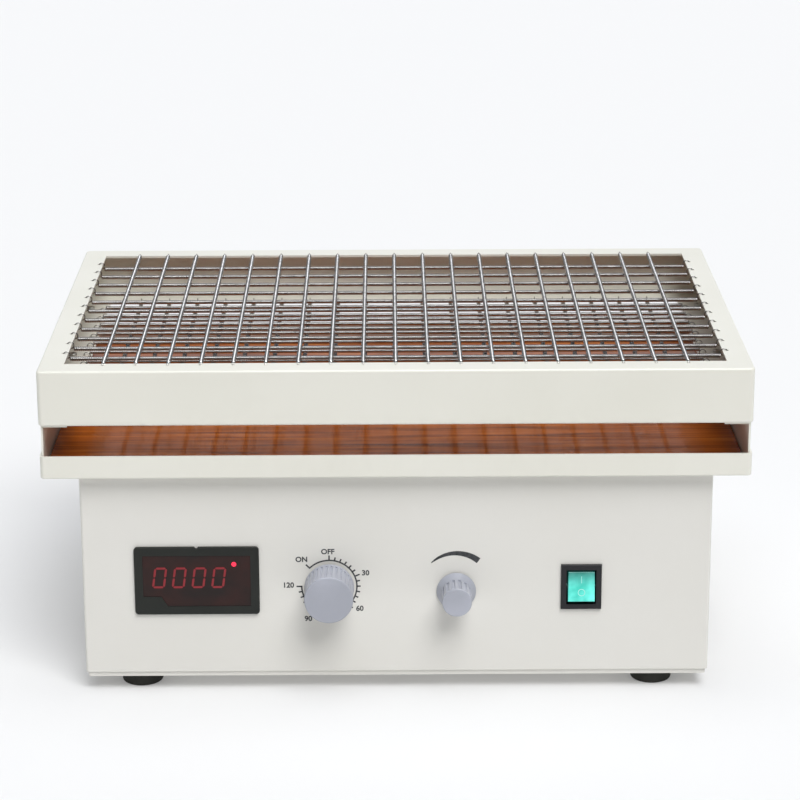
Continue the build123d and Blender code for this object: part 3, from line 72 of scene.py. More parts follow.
PRINT_PROUD = 0.06 * MM     # front of the print ahead of what it is printed on
PRINT_DEPTH = 0.05 * MM
DIAL_RADIUS = 17.3 * MM     # inner edge of the dial's line
DIAL_LINE = 0.95 * MM
DIAL_START = -45.0          # degrees clockwise from the top, as all angles on the panel
DIAL_END = 270.0
DIAL_MAJOR_TICK = 2.9 * MM
DIAL_MINOR_TICK = 1.9 * MM
DIAL_TICK_PROUD = PRINT_DEPTH / 10     # ahead of the dial's line, so no two faces coincide
DIAL_MINUTES = 120
MINUTES_PER_TICK = 5
MINUTES_PER_MAJOR_TICK = 30
DEGREES_PER_MINUTE = 2.25
DIAL_LABELS = (("ON", -44.0, 25.5 * MM), ("OFF", -2.0, 23.6 * MM), ("30", 69.0, 25.0 * MM),
               ("60", 128.5, 24.9 * MM), ("90", 211.6, 26.3 * MM), ("120", 271.7, 26.4 * MM))
LABEL_SIZE = 4.9 * MM
LABEL_WEIGHT = 0.15 * MM
LABEL_CURVE_STEPS = 4       # finer outlines fold over themselves at this weight
SPEED_ARC_RADIUS = 25.0 * MM       # middle of the wedge, at its ends
SPEED_ARC_CROWN = 0.7 * MM         # how much further out its middle lies
SPEED_ARC_START = -40.4
SPEED_ARC_END = 35.0
SPEED_ARC_TIP = 0.25 * MM          # thickness where it starts
SPEED_ARC_THICK = 4.1 * MM         # thickness where it ends
SPEED_ARC_GROWTH = 0.58            # power of the way along by which it thickens
ARC_STEPS = 48

DIGIT_COUNT = 4
DIGIT_HEIGHT = 14.2 * MM
DIGIT_WIDTH = 8.3 * MM
DIGIT_SLANT = math.radians(8)
SEGMENT_WIDTH = 1.35 * MM
SEGMENT_GAP = 0.22 * MM
DOT_RADIUS = 1.55 * MM
DOT_STEP = 15               # degrees between the points of its outline
DOT_RIGHT = 24.0 * MM       # from the window's centre
DOT_UP = 11.3 * MM

ROCKER_TILT = math.radians(8)
MARK_LINE = 0.5 * MM
MARK_BAR_TALL = 4.4 * MM
MARK_BAR_SLIT = MARK_LINE / 4   # left open down the bar's middle
MARK_BAR_UP = 4.6 * MM      # from the rocker's pivot
MARK_RING_RADIUS = 2.4 * MM
MARK_RING_DOWN = 3.8 * MM
MARK_RING_STEPS = 32
LENS_DEPTH = 1.2 * MM       # how deep the rocker's fully lit front reaches
LENS_FADE = 2.5 * LENS_DEPTH    # how deep its light has faded away

# ---- Camera, fitted to the corners of the tray, the frame and the base ----
IMAGE_WIDTH = 800
FOCAL_PIXELS = 2741.2
SENSOR_WIDTH = 36.0
CAMERA_RIGHT = -5.1 * MM    # of the frame's middle
CAMERA_AHEAD = 1795.8 * MM  # in front of the frame's middle
CAMERA_ABOVE = 489.3 * MM   # above the frame's top
CAMERA_PITCH = math.radians(17.23)
CAMERA_YAW = math.radians(0.268)
CAMERA_ROLL = math.radians(-0.206)

# ---- Studio ---------------------------------------------------------------
# Each stop pairs the upward or backward part of a direction with a grey level.
SKY_BY_HEIGHT = ((0.0, 0.04), (0.5, 0.12), (0.88, 0.32), (0.94, 3.1), (1.0, 3.4))
SKY_BEHIND = ((0.6, 0.0), (0.85, 0.75))
SKY_TINT = (0.975, 1.0, 1.045)
WORLD_STRENGTH = 0.8
FLOOR_HALF_SIZE = 6         # metres
FLOOR_ALBEDO = 0.64
FLOOR_GLOW = 0.19
KEY_TOWARDS = (0.25, -0.60, 0.88)       # from the part to the light
KEY_SPREAD = math.radians(34)
KEY_STRENGTH = 2.3


# ---- Materials ------------------------------------------------------------
DARK_SPECULAR = 0.25        # of black mouldings and the meter's filter


def material(name, colour, roughness, metallic=0.0):
    """A new principled material, with its node tree ready to be added to."""
    mat = bpy.data.materials.new(name)
    mat.use_nodes = True
    set_shader(mat, {"Base Color": (*colour, 1), "Roughness": roughness, "Metallic": metallic})
    return mat


def shader_of(mat):
    return mat.node_tree.nodes["Principled BSDF"]


def set_shader(mat, values):
    """Set inputs of the material's shader, given by name."""
    for name, value in values.items():
        shader_of(mat).inputs[name].default_value = value


def add(mat, kind, **values):
    """A node of this kind, with the named inputs set."""
    node = mat.node_tree.nodes.new(kind)
    for key, value in values.items():
        node.inputs[key].default_value = value
    return node


def link(mat, output, target):
    mat.node_tree.links.new(output, target)


def object_point(mat, stretch=(1, 1, 1)):
    """The point on the object in metres, stretched along its axes."""
    coords = mat.node_tree.nodes.new("ShaderNodeTexCoord")
    mapping = add(mat, "ShaderNodeMapping", Scale=stretch)
    link(mat, coords.outputs["Object"], mapping.inputs["Vector"])
    return mapping.outputs["Vector"]


def noise(mat, scale, detail=3.0, stretch=(1, 1, 1), distortion=0.0):
    """A noise from 0 to 1 over the object; scale is in waves to the metre."""
    node = add(mat, "ShaderNodeTexNoise", Scale=scale, Detail=detail, Distortion=distortion)
    link(mat, object_point(mat, stretch), node.inputs["Vector"])
    return node.outputs["Fac"]


def ramp(mat, value, stops):
    """Map a value to colours; stops are (place, colour)."""
    node = mat.node_tree.nodes.new("ShaderNodeValToRGB")
    elements = node.color_ramp.elements
    while len(elements) > 1:
        elements.remove(elements[-1])
    elements[0].position = stops[0][0]
    elements[0].color = (*stops[0][1], 1)
    for place, colour in stops[1:]:
        elements.new(place).color = (*colour, 1)
    link(mat, value, node.inputs["Fac"])
    return node.outputs["Color"]


def vary_colour(mat, value, low, high, start=0.35, end=0.65):
    """Blend the base colour from low to high as the value goes from start to end."""
    colour = ramp(mat, value, [(start, low), (end, high)])
    link(mat, colour, shader_of(mat).inputs["Base Color"])


def vary_roughness(mat, value, low, high):
    """Spread the roughness from low to high over the value's 0 to 1."""
    span = add(mat, "ShaderNodeMapRange")
    span.inputs["To Min"].default_value = low
    span.inputs["To Max"].default_value = high
    link(mat, value, span.inputs["Value"])
    link(mat, span.outputs["Result"], shader_of(mat).inputs["Roughness"])


def bump(mat, value, strength, distance):
    """Raise the surface by up to this distance in metres where the value is high."""
    node = add(mat, "ShaderNodeBump", Strength=strength, Distance=distance)
    link(mat, value, node.inputs["Height"])
    link(mat, node.outputs["Normal"], shader_of(mat).inputs["Normal"])


def paint(name, light, dark):
    """Stoved off-white enamel with a fine orange-peel skin."""
    mat = material(name, light, 0.38)
    vary_colour(mat, noise(mat, 9, 4), dark, light)
    vary_roughness(mat, noise(mat, 60, 4), 0.32, 0.46)
    bump(mat, noise(mat, 900, 2), 0.12, 0.0002)
    set_shader(mat, {"Coat Weight": 0.25, "Coat Roughness": 0.22})
    return mat


def phenolic_board():
    """Glossy orange-brown laminate with fine fibres along its length."""
    mat = material("board_laminate", (0.42, 0.105, 0.018), 0.16)
    fibres = noise(mat, 90, 6, (0.12, 1.6, 1), 0.6)
    colour = ramp(mat, fibres, [(0.28, (0.14, 0.034, 0.006)), (0.5, (0.43, 0.104, 0.013)),
                                (0.75, (0.64, 0.185, 0.022))])
    link(mat, colour, shader_of(mat).inputs["Base Color"])
    vary_roughness(mat, noise(mat, 14, 3), 0.10, 0.2)
    set_shader(mat, {"Specular IOR Level": 0.24, "Coat Weight": 0.06, "Coat Roughness": 0.05})
    return mat


def spring_wire(name, colour, roughness):
    """Drawn spring steel, with faint streaks."""
    mat = material(name, colour, roughness, 1.0)
    dark = tuple(0.82 * c for c in colour)
    vary_colour(mat, noise(mat, 160, 3), dark, colour)
    vary_roughness(mat, noise(mat, 700, 3), 0.7 * roughness, 1.3 * roughness)
    return mat


def metal(name, colour, roughness, grain, stretch=(1, 1, 1)):
    """A metal with a drawn or turned grain."""
    mat = material(name, colour, roughness, 1.0)
    dark = tuple(0.72 * c for c in colour)
    vary_colour(mat, noise(mat, grain, 4, stretch), dark, colour)
    vary_roughness(mat, noise(mat, grain * 2, 4, stretch), roughness * 0.75, roughness * 1.3)
    bump(mat, noise(mat, grain * 4, 3, stretch), 0.08, 0.0001)
    return mat


def plastic(name, colour, roughness, grain=2500, depth=0.25):
    """A moulded plastic with a fine sparked texture."""
    mat = material(name, colour, roughness)
    dark = tuple(0.85 * c for c in colour)
    vary_colour(mat, noise(mat, 35, 3), dark, colour)
    vary_roughness(mat, noise(mat, 120, 3), roughness * 0.85, min(1.0, roughness * 1.15))
    bump(mat, noise(mat, grain, 2), depth, 0.00008)
    return mat


def tinted_window():
    """The meter's dark red-brown filter."""
    mat = material("meter_filter", (0.020, 0.009, 0.007), 0.14)
    vary_colour(mat, noise(mat, 50, 2), (0.016, 0.009, 0.008), (0.032, 0.010, 0.008))
    set_shader(mat, {"Specular IOR Level": DARK_SPECULAR})
    bump(mat, noise(mat, 60, 2), 0.05, 0.0002)
    return mat


def glowing(name, colour, strength, roughness=0.4):
    """A surface that gives off light of its own colour."""
    mat = material(name, colour, roughness)
    set_shader(mat, {"Emission Color": (*colour, 1), "Emission Strength": strength})
    return mat


def rocker_lens():
    """Translucent green, lit from behind and dim at its sides, with a fine prismatic grid."""
    mat = material("rocker_lens", (0.02, 0.45, 0.36), 0.18)
    grid = add(mat, "ShaderNodeTexChecker", Scale=1400)
    link(mat, object_point(mat), grid.inputs["Vector"])
    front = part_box("power_rocker")[0].y
    depth = add(mat, "ShaderNodeMapRange")
    depth.inputs["From Min"].default_value = front + LENS_DEPTH
    depth.inputs["From Max"].default_value = front + LENS_FADE
    parts = add(mat, "ShaderNodeSeparateXYZ")
    link(mat, object_point(mat), parts.inputs["Vector"])
    link(mat, parts.outputs["Y"], depth.inputs["Value"])
    glow = ramp(mat, noise(mat, 110, 2), [(0.3, (0.03, 0.50, 0.40)), (0.7, (0.14, 0.80, 0.70))])
    blend = add(mat, "ShaderNodeMix")
    blend.data_type = "RGBA"
    share, lit, unlit, mixed = blend.inputs[0], blend.inputs[6], blend.inputs[7], blend.outputs[2]
    link(mat, depth.outputs["Result"], share)
    link(mat, glow, lit)
    unlit.default_value = (0.004, 0.07, 0.06, 1)
    link(mat, mixed, shader_of(mat).inputs["Base Color"])
    link(mat, mixed, shader_of(mat).inputs["Emission Color"])
    set_shader(mat, {"Emission Strength": 0.36, "Coat Weight": 0.5})
    bump(mat, grid.outputs["Fac"], 0.25, 0.0001)
    return mat


def ink():
    """Screen-printed lettering."""
    mat = material("printed_ink", (0.020, 0.021, 0.023), 0.6)
    vary_colour(mat, noise(mat, 400, 3), (0.025, 0.027, 0.03), (0.06, 0.062, 0.066))
    return mat


def rubber(name, colour):
    """Dull moulded rubber, a little dusty."""
    mat = material(name, colour, 0.75)
    light = tuple(1.7 * c for c in colour)
    vary_colour(mat, noise(mat, 90, 5), colour, light)
    bump(mat, noise(mat, 1500, 3), 0.3, 0.0001)
    return mat


PAINT = paint("enamel", (0.80, 0.787, 0.71), (0.775, 0.762, 0.68))
BASE_PAINT = paint("base_enamel", (0.76, 0.745, 0.70), (0.74, 0.725, 0.675))
BOARD = phenolic_board()
WIRE = spring_wire("spring_wire", (0.40, 0.39, 0.38), 0.18)
# The same spring steel, made about twice as light for the front-to-back springs on top. The extra
# lightness is a painted highlight, standing in for the key light's glints on their coils.
SHEEN_PAINTED_WIRE = spring_wire("spring_wire_painted_sheen", (0.78, 0.765, 0.75), 0.2)
ZINC = metal("zinc_plate", (0.66, 0.66, 0.63), 0.34, 240)
ALUMINIUM = metal("milled_aluminium", (0.78, 0.78, 0.79), 0.32, 200, (0.15, 1, 1))
GROUND = metal("ground_steel", (0.70, 0.70, 0.70), 0.18, 400, (0.1, 1, 1))
MOTOR = plastic("motor_enamel", (0.045, 0.05, 0.055), 0.42, 900)
BEZEL = plastic("bezel_moulding", (0.020, 0.022, 0.019), 0.5)
BLACK = plastic("black_moulding", (0.022, 0.022, 0.025), 0.42)
KNOB = plastic("knob_moulding", (0.43, 0.445, 0.505), 0.32, 1800, 0.18)
MARK_PALE = plastic("mark_pale", (0.40, 0.88, 0.80), 0.4)
for moulding in (BEZEL, BLACK):
    set_shader(moulding, {"Specular IOR Level": DARK_SPECULAR})
FILTER = tinted_window()
LENS = rocker_lens()
INK = ink()
FEET = rubber("foot_rubber", (0.012, 0.012, 0.009))
BELT = rubber("belt_rubber", (0.018, 0.018, 0.018))
PCB = plastic("solder_mask", (0.02, 0.13, 0.05), 0.35, 600)
WINDING = metal("varnished_iron", (0.30, 0.17, 0.09), 0.45, 500, (1, 1, 12))
SEGMENT_LIT = glowing("digit_glow", (0.19, 0.005, 0.010), 0.38)
DOT_LIT = glowing("dot_glow", (0.95, 0.02, 0.06), 0.9)

FINISH = {
    "tray_pan": PAINT, "side_bracket_left": PAINT, "side_bracket_right": PAINT,
    "spring_frame": PAINT, "housing": BASE_PAINT, "rear_panel": BASE_PAINT,
    "base_plate": BASE_PAINT, "tray_board": BOARD, "rubber_feet": FEET,
    "display_bezel": BEZEL, "display_window": FILTER, "display_board": PCB,
    "control_board": PCB, "digit_modules": BEZEL, "timer_body": BLACK, "switch_frame": BLACK,
    "power_inlet": BLACK, "fuse_holder": BLACK, "fuse_cap": BLACK, "speed_sensor": BLACK,
    "timer_knob": KNOB, "speed_knob": KNOB, "power_rocker": LENS, "motor_case": MOTOR,
    "drive_belt": BELT, "transformer": WINDING,
}
ALUMINIUM_NODES = ("carriage_plate", "yoke_block", "bearing_blocks", "platform_posts",
                   "rod_supports", "driven_pulley", "motor_pulley", "crank_disc",
                   "bearing_housing", "speed_pot")
GROUND_NODES = ("linear_bushes", "guide_rods", "bearing_outer_rings", "bearing_inner_rings",
                "cam_roller", "crankshaft", "crank_pin", "motor_shaft")
for node in ALUMINIUM_NODES:
    FINISH[node] = ALUMINIUM
for node in GROUND_NODES:
    FINISH[node] = GROUND


def finish_nodes():
    """Give every CAD node its material; plain zinc plate is the rest."""
    for name, obj in frame["nodes"].items():
        for entry in obj.material_slots:
            entry.material = FINISH.get(name, ZINC)


# ---- Mesh helpers ---------------------------------------------------------
def put_in_scene(name, data):
    """A new object that shows this data, in the part's own frame."""
    obj = bpy.data.objects.new(name, data)
    bpy.context.scene.collection.objects.link(obj)
    return obj


def quad_mesh(name, verts, quads, mat):
    """A large mesh of quads, from number arrays."""
    mesh = bpy.data.meshes.new(name)
    mesh.vertices.add(len(verts))
    mesh.vertices.foreach_set("co", np.asarray(verts, np.float32).ravel())
    mesh.loops.add(len(quads) * 4)
    mesh.loops.foreach_set("vertex_index", np.asarray(quads, np.int32).ravel())
    mesh.polygons.add(len(quads))
    mesh.polygons.foreach_set("loop_start", np.arange(0, len(quads) * 4, 4, dtype=np.int32))
    mesh.update(calc_edges=True)
    mesh.validate()
    mesh.materials.append(mat)
    mesh.shade_smooth()
    return put_in_scene(name, mesh)


def tube_quads(rings, sides, closed=False):
    """Quads between rings of points, first ring to last, and on to the first if closed."""
    quads = []
    for i in range(rings if closed else rings - 1):
        here = i * sides
        there = (i + 1) % rings * sides
        for j in range(sides):
            k = (j + 1) % sides
            quads.append((here + j, there + j, there + k, here + k))
    return np.array(quads, np.int64)


# ---- Springs --------------------------------------------------------------
def coil_points(length, rings_per_turn):
    """A close-wound coil along X: a tube with a helical groove, narrowed at its ends."""
    rings = int(length / COIL_PITCH * rings_per_turn) + 1
    place = np.linspace(-length / 2, length / 2, rings)
    angle = np.arange(COIL_SIDES) * 2 * math.pi / COIL_SIDES
    turn = place[:, None] / COIL_PITCH - angle[None, :] / (2 * math.pi)
    crest = np.abs(np.cos(math.pi * turn))
    radius = SPRING_RADIUS - COIL_GROOVE * (1 - crest)
    radius[0] = radius[-1] = SPRING_RADIUS - 2 * COIL_GROOVE
    points = np.zeros((rings, COIL_SIDES, 3))
    points[:, :, 0] = place[:, None]
    points[:, :, 1] = radius * np.cos(angle)[None, :]
    points[:, :, 2] = radius * np.sin(angle)[None, :]
    return points.reshape(-1, 3), tube_quads(rings, COIL_SIDES)


def loop_points():
    """One wire loop, standing in the XZ plane."""
    around = np.arange(LOOP_STEPS) * 2 * math.pi / LOOP_STEPS
    section = np.arange(LOOP_SIDES) * 2 * math.pi / LOOP_SIDES
    reach = LOOP_RADIUS + SPRING_WIRE / 2 * np.cos(section)[None, :]
    points = np.zeros((LOOP_STEPS, LOOP_SIDES, 3))
    points[:, :, 0] = reach * np.cos(around)[:, None]
    points[:, :, 1] = SPRING_WIRE / 2 * np.sin(section)[None, :]
    points[:, :, 2] = reach * np.sin(around)[:, None]
    return points.reshape(-1, 3), tube_quads(LOOP_STEPS, LOOP_SIDES, closed=True)


def spring_shape(length, axis_height, loop_reach, loop_height, rings_per_turn):
    """A coil and its two loops, with Z = 0 at the middle of the flange."""
    coil, coil_quads = coil_points(length, rings_per_turn)
    coil = coil + [0, 0, axis_height]
    loop, loop_quads = loop_points()
    verts = [coil]
    quads = [coil_quads]
    total = len(coil)
    for side in (-1, 1):
        verts.append(loop + [side * loop_reach, 0, loop_height])
        quads.append(loop_quads + total)
        total += len(loop)
    return np.concatenate(verts), np.concatenate(quads)


def spring_net(node, along_y, count, upper, rings_per_turn, wire):
    """The coils and loops that stand for one node of springs; the lower net is upside down."""
    low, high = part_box(node)
    along, across = (1, 0) if along_y else (0, 1)
    reach = (high[along] - low[along]) / 2
    middle = (high[along] + low[along]) / 2
    opening = reach - LOOP_REACH - SPRING_WIRE / 2
    rise = CROSS_RISE if along_y else CROSS_RISE - LAYER_STEP
    loop_height = LOOP_TOP - LOOP_RADIUS - SPRING_WIRE / 2
    verts, quads = spring_shape(2 * (opening - COIL_END_GAP), rise,
                                opening + LOOP_REACH - LOOP_RADIUS, loop_height,
                                rings_per_turn)
    flip = 1 if upper else -1
    verts = verts * [1, 1, flip]
    level = high.z - LOOP_TOP if upper else low.z + LOOP_TOP
    first = low[across] + SPRING_RADIUS
    pitch = (high[across] - low[across] - 2 * SPRING_RADIUS) / (count - 1)
    if along_y == upper:        # mirrored once, so its faces are turned outwards again
        quads = quads[:, ::-1]
    pieces = math.ceil(count * len(quads) / MOST_FACES)
    for piece, group in enumerate(np.array_split(np.arange(count), pieces)):
        places = np.zeros((len(group), len(verts), 3))
        places[:, :, along] = verts[:, 0] + middle
        places[:, :, across] = verts[:, 1] + first + group[:, None] * pitch
        places[:, :, 2] = verts[:, 2] + level
        faces = np.concatenate([quads + i * len(verts) for i in range(len(group))])
        name = f"{node.replace('springs', 'coils')}_{piece}"
        obj = quad_mesh(name, places.reshape(-1, 3), faces, wire)
        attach(obj, "platform")
        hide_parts(node)


# ---- Printing on the panel ------------------------------------------------
def panel_face():
    """Where the print's front lies, just ahead of the panel."""
    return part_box("housing")[0].y - PRINT_PROUD


def middle_of(node):
    low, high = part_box(node)
    return (low + high) / 2


def print_shape(name, outline, y_front, mat):
    """A thin solid on the base, whose outline is a list of (x, z), seen from the front."""
    bm = bmesh.new()
    front = [bm.verts.new((x, y_front, z)) for x, z in outline]
    face = bm.faces.new(front)
    grown = bmesh.ops.extrude_face_region(bm, geom=[face])
    moved = [v for v in grown["geom"] if isinstance(v, bmesh.types.BMVert)]
    bmesh.ops.translate(bm, verts=moved, vec=(0, PRINT_DEPTH, 0))
    bmesh.ops.recalc_face_normals(bm, faces=bm.faces)
    mesh = bpy.data.meshes.new(name)
    bm.to_mesh(mesh)
    bm.free()
    mesh.materials.append(mat)
    obj = put_in_scene(name, mesh)
    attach(obj, "base")


def on_dial(centre, radius, degrees):
    """The (x, z) at an angle clockwise from the top."""
    turn = math.radians(degrees)
    return centre.x + radius * math.sin(turn), centre.z + radius * math.cos(turn)


def arc_outline(centre, start, end, inner, outer):
    """A closed band; inner and outer give the radii at a share of the way."""
    steps = [i / ARC_STEPS for i in range(ARC_STEPS + 1)]
    there = [on_dial(centre, outer(t), start + (end - start) * t) for t in steps]
    back = [on_dial(centre, inner(t), start + (end - start) * t) for t in reversed(steps)]
    return there + back


def tick_outline(centre, degrees, length):
    """A tick that reaches out from the dial's line, of the line's width."""
    inner = DIAL_RADIUS
    outer = DIAL_RADIUS + DIAL_LINE + length
    inner_half = math.degrees(DIAL_LINE / 2 / inner)
    outer_half = math.degrees(DIAL_LINE / 2 / outer)
    return [on_dial(centre, inner, degrees - inner_half),
            on_dial(centre, outer, degrees - outer_half),
            on_dial(centre, outer, degrees + outer_half),
            on_dial(centre, inner, degrees + inner_half)]


def timer_dial():
    """The timer's line, ticks and numbers."""
    centre = middle_of("timer_knob")
    y = panel_face()
    band = arc_outline(centre, DIAL_START, DIAL_END, lambda t: DIAL_RADIUS,
                       lambda t: DIAL_RADIUS + DIAL_LINE)
    print_shape("dial_line", band, y, INK)
    marks = [(DIAL_START, DIAL_MAJOR_TICK)]
    for minute in range(0, DIAL_MINUTES + 1, MINUTES_PER_TICK):
        major = minute % MINUTES_PER_MAJOR_TICK == 0
        marks.append((minute * DEGREES_PER_MINUTE, DIAL_MAJOR_TICK if major else DIAL_MINOR_TICK))
    for i, (degrees, length) in enumerate(marks):
        print_shape(f"dial_tick_{i:02d}", tick_outline(centre, degrees, length),
                    y - DIAL_TICK_PROUD, INK)
    for words, degrees, radius in DIAL_LABELS:
        x, z = on_dial(centre, radius, degrees)
        label(f"dial_label_{words}", words, x, z)


def label(name, words, x, z):
    """Printed lettering, upright on the panel."""
    curve = bpy.data.curves.new(name, "FONT")
    curve.body = words
    curve.size = LABEL_SIZE
    curve.align_x = "CENTER"
    curve.align_y = "CENTER"
    curve.extrude = PRINT_DEPTH / 2
    curve.offset = LABEL_WEIGHT
    curve.resolution_u = LABEL_CURVE_STEPS
    curve.materials.append(INK)
    obj = put_in_scene(name, curve)
    obj.location = (x, panel_face() + PRINT_DEPTH / 2, z)
    obj.rotation_euler = (math.pi / 2, 0, 0)
    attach(obj, "base")


def speed_wedge():
    """The arc over the speed knob that thickens clockwise."""
    centre = middle_of("speed_knob")

    def middle(t):
        return SPEED_ARC_RADIUS + SPEED_ARC_CROWN * math.sin(math.pi * t)

    def half(t):
        return (SPEED_ARC_TIP + (SPEED_ARC_THICK - SPEED_ARC_TIP) * t ** SPEED_ARC_GROWTH) / 2

    outline = arc_outline(centre, SPEED_ARC_START, SPEED_ARC_END,
                          lambda t: middle(t) - half(t), lambda t: middle(t) + half(t))
    print_shape("speed_wedge", outline, panel_face(), INK)


# ---- The meter's digits ---------------------------------------------------
def segment_outlines():
    """The six lit bars of a zero about its centre, as lists of (x, z)."""
    half_w = DIGIT_WIDTH / 2 - SEGMENT_WIDTH / 2
    half_h = DIGIT_HEIGHT / 2 - SEGMENT_WIDTH / 2
    w = SEGMENT_WIDTH / 2
    bars = {}

    def flat(z):
        x0, x1 = -half_w + SEGMENT_GAP, half_w - SEGMENT_GAP
        return [(x0, z), (x0 + w, z + w), (x1 - w, z + w), (x1, z), (x1 - w, z - w),
                (x0 + w, z - w)]

    def tall(x, z0, z1):
        z0, z1 = z0 + SEGMENT_GAP, z1 - SEGMENT_GAP
        return [(x, z0), (x - w, z0 + w), (x - w, z1 - w), (x, z1), (x + w, z1 - w),
                (x + w, z0 + w)]

    bars["top"] = flat(half_h)
    bars["bottom"] = flat(-half_h)
    bars["upper_left"] = tall(-half_w, 0, half_h)
    bars["upper_right"] = tall(half_w, 0, half_h)
    bars["lower_left"] = tall(-half_w, -half_h, 0)
    bars["lower_right"] = tall(half_w, -half_h, 0)
    slant = math.tan(DIGIT_SLANT)
    return {key: [(x + z * slant, z) for x, z in bar] for key, bar in bars.items()}


def meter_digits():
    """Four zeros and the lit dot beside them."""
    low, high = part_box("digit_modules")
    pitch = (high.x - low.x) / DIGIT_COUNT
    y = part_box("display_window")[0].y - PRINT_PROUD
    for i in range(DIGIT_COUNT):
        x0 = low.x + pitch * (i + 0.5)
        z0 = (low.z + high.z) / 2
        for key, bar in segment_outlines().items():
            outline = [(x0 + x, z0 + z) for x, z in bar]
            print_shape(f"digit_{i}_{key}", outline, y, SEGMENT_LIT)
    window = middle_of("display_window")
    dot = [(window.x + DOT_RIGHT + DOT_RADIUS * math.cos(math.radians(a)),
            window.z + DOT_UP + DOT_RADIUS * math.sin(math.radians(a)))
           for a in range(0, 360, DOT_STEP)]
    print_shape("status_dot", dot, y, DOT_LIT)


# ---- Marks on the rocker --------------------------------------------------
def tilted_about_pivot(pivot, x, z, y):
    """A point on the rocker's upright face, turned with the rocker about its pivot."""
    turn = Matrix.Rotation(-ROCKER_TILT, 3, "X")
    return pivot + turn @ Vector((x, y, z))


def rocker_mark(name, outer, inner, pivot, face):
    """A moulded mark just proud of the rocker's face: a closed band between two outlines."""
    proud = face - PRINT_PROUD
    corners = ((outer, proud), (inner, proud), (inner, face), (outer, face))
    verts = [tilted_about_pivot(pivot, x, z, y) for ring, y in corners for x, z in ring]
    count = len(outer)
    faces = []
    for layer in range(len(corners)):
        here = layer * count
        there = (layer + 1) % len(corners) * count
        faces += [(here + i, here + (i + 1) % count, there + (i + 1) % count, there + i)
                  for i in range(count)]
    mesh = bpy.data.meshes.new(name)
    mesh.from_pydata(verts, [], faces)
    mesh.materials.append(MARK_PALE)
    obj = put_in_scene(name, mesh)
    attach(obj, "switch_rocker")


def circle_outline(radius, z):
    turns = [2 * math.pi * i / MARK_RING_STEPS for i in range(MARK_RING_STEPS)]
    return [(radius * math.sin(turn), z + radius * math.cos(turn)) for turn in turns]


def bar_outline(half_width, half_height, z):
    return [(-half_width, z - half_height), (-half_width, z + half_height),
            (half_width, z + half_height), (half_width, z - half_height)]


def rocker_marks():
    """The bar at the pressed end and the ring at the other."""
    joint = next(j for j in frame["joints"] if j["name"] == "rocker_tilt")
    pivot = Vector(joint["pos_m"])
    upright = Matrix.Rotation(ROCKER_TILT, 3, "X")
    corners = frame["nodes"]["power_rocker"].data.vertices
    face = min((upright @ (corner.co - pivot)).y for corner in corners)
    rocker_mark("rocker_on_mark",
                bar_outline(MARK_LINE / 2, MARK_BAR_TALL / 2, MARK_BAR_UP),
                bar_outline(MARK_BAR_SLIT / 2, (MARK_BAR_TALL - MARK_LINE) / 2, MARK_BAR_UP),
                pivot, face)
    rocker_mark("rocker_off_mark",
                circle_outline(MARK_RING_RADIUS, -MARK_RING_DOWN),
                circle_outline(MARK_RING_RADIUS - MARK_LINE, -MARK_RING_DOWN),
                pivot, face)


# ---- Camera, light and floor ----------------------------------------------
def add_camera():
    """The photographer's camera, placed from the frame's box."""
    low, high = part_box("spring_frame")
    middle = (low + high) / 2
    ahead = Vector((math.sin(CAMERA_YAW) * math.cos(CAMERA_PITCH),
                    math.cos(CAMERA_YAW) * math.cos(CAMERA_PITCH), -math.sin(CAMERA_PITCH)))
    right = ahead.cross(Vector((0, 0, 1))).normalized()
    up = right.cross(ahead)
    turned_right = right * math.cos(CAMERA_ROLL) + up * math.sin(CAMERA_ROLL)
    turned_up = up * math.cos(CAMERA_ROLL) - right * math.sin(CAMERA_ROLL)
    place = Vector((middle.x + CAMERA_RIGHT, middle.y - CAMERA_AHEAD, high.z + CAMERA_ABOVE))
    data = bpy.data.cameras.new("photo_view")
    data.sensor_width = SENSOR_WIDTH
    data.lens = FOCAL_PIXELS / IMAGE_WIDTH * SENSOR_WIDTH
    camera = put_in_scene("photo_view", data)
    axes = Matrix((turned_right, turned_up, -ahead)).transposed()
    camera.matrix_world = Matrix.Translation(place) @ axes.to_4x4()
    bpy.context.scene.camera = camera


def add_key():
    """A broad soft light from above the front right."""
    lamp = bpy.data.lights.new("key", "SUN")
    lamp.energy = KEY_STRENGTH
    lamp.angle = KEY_SPREAD
    light = put_in_scene("key", lamp)
    light.rotation_euler = Vector(KEY_TOWARDS).to_track_quat("Z", "Y").to_euler()


def grey_ramp(nodes, stops):
    """A colour ramp through grey levels, one (place, level) for each stop."""
    shade = nodes.new("ShaderNodeValToRGB")
    elements = shade.color_ramp.elements
    while len(elements) < len(stops):
        elements.new(1.0)
    for element, (place, level) in zip(elements, stops):
        element.position = place
        element.color = (level, level, level, 1)
    return shade


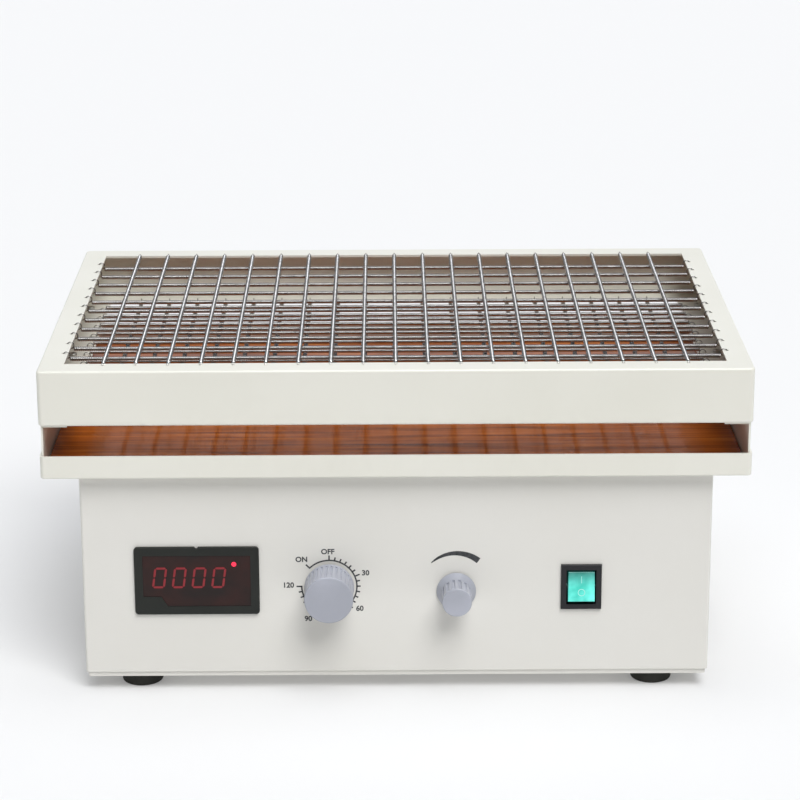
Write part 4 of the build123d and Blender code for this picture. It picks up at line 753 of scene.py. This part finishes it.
def add_world():
    """A surround that is bright overhead and behind, and dim towards the viewer's side."""
    world = bpy.data.worlds.new("studio_surround")
    world.use_nodes = True
    nodes = world.node_tree.nodes
    links = world.node_tree.links
    coords = nodes.new("ShaderNodeTexCoord")
    parts = nodes.new("ShaderNodeSeparateXYZ")
    links.new(coords.outputs["Generated"], parts.inputs["Vector"])
    above = grey_ramp(nodes, SKY_BY_HEIGHT)
    behind = grey_ramp(nodes, SKY_BEHIND)
    links.new(parts.outputs["Z"], above.inputs["Fac"])
    links.new(parts.outputs["Y"], behind.inputs["Fac"])
    brighter = nodes.new("ShaderNodeMath")
    brighter.operation = "MAXIMUM"
    links.new(above.outputs["Color"], brighter.inputs[0])
    links.new(behind.outputs["Color"], brighter.inputs[1])
    tint = nodes.new("ShaderNodeVectorMath")
    tint.operation = "MULTIPLY"
    tint.inputs[1].default_value = SKY_TINT
    links.new(brighter.outputs["Value"], tint.inputs[0])
    background = nodes["Background"]
    background.inputs["Strength"].default_value = WORLD_STRENGTH
    links.new(tint.outputs["Vector"], background.inputs["Color"])
    bpy.context.scene.world = world


def add_floor():
    """A plain white floor that glows a little, as a lit sweep does."""
    bm = bmesh.new()
    bmesh.ops.create_grid(bm, x_segments=1, y_segments=1, size=FLOOR_HALF_SIZE)
    mesh = bpy.data.meshes.new("studio_floor")
    bm.to_mesh(mesh)
    bm.free()
    white = material("floor_white", (FLOOR_ALBEDO,) * 3, 0.9)
    set_shader(white, {"Emission Color": (1, 1, 1, 1), "Emission Strength": FLOOR_GLOW})
    mesh.materials.append(white)
    floor = put_in_scene("studio_floor", mesh)


def add_studio():
    """The floor, the surround and the key light, seen without a film look."""
    add_floor()
    add_world()
    add_key()
    bpy.context.scene.view_settings.view_transform = "Standard"


finish_nodes()
# The front-to-back springs on top take the lighter wire, whose extra lightness is painted
# highlight.
spring_net("upper_cross_springs", True, CROSS_SPRINGS, True, TOP_COIL_RINGS, SHEEN_PAINTED_WIRE)
spring_net("upper_long_springs", False, LONG_SPRINGS, True, COIL_RINGS, WIRE)
spring_net("lower_cross_springs", True, CROSS_SPRINGS, False, COIL_RINGS, WIRE)
spring_net("lower_long_springs", False, LONG_SPRINGS, False, COIL_RINGS, WIRE)
timer_dial()
speed_wedge()
meter_digits()
rocker_marks()
add_camera()
add_studio()
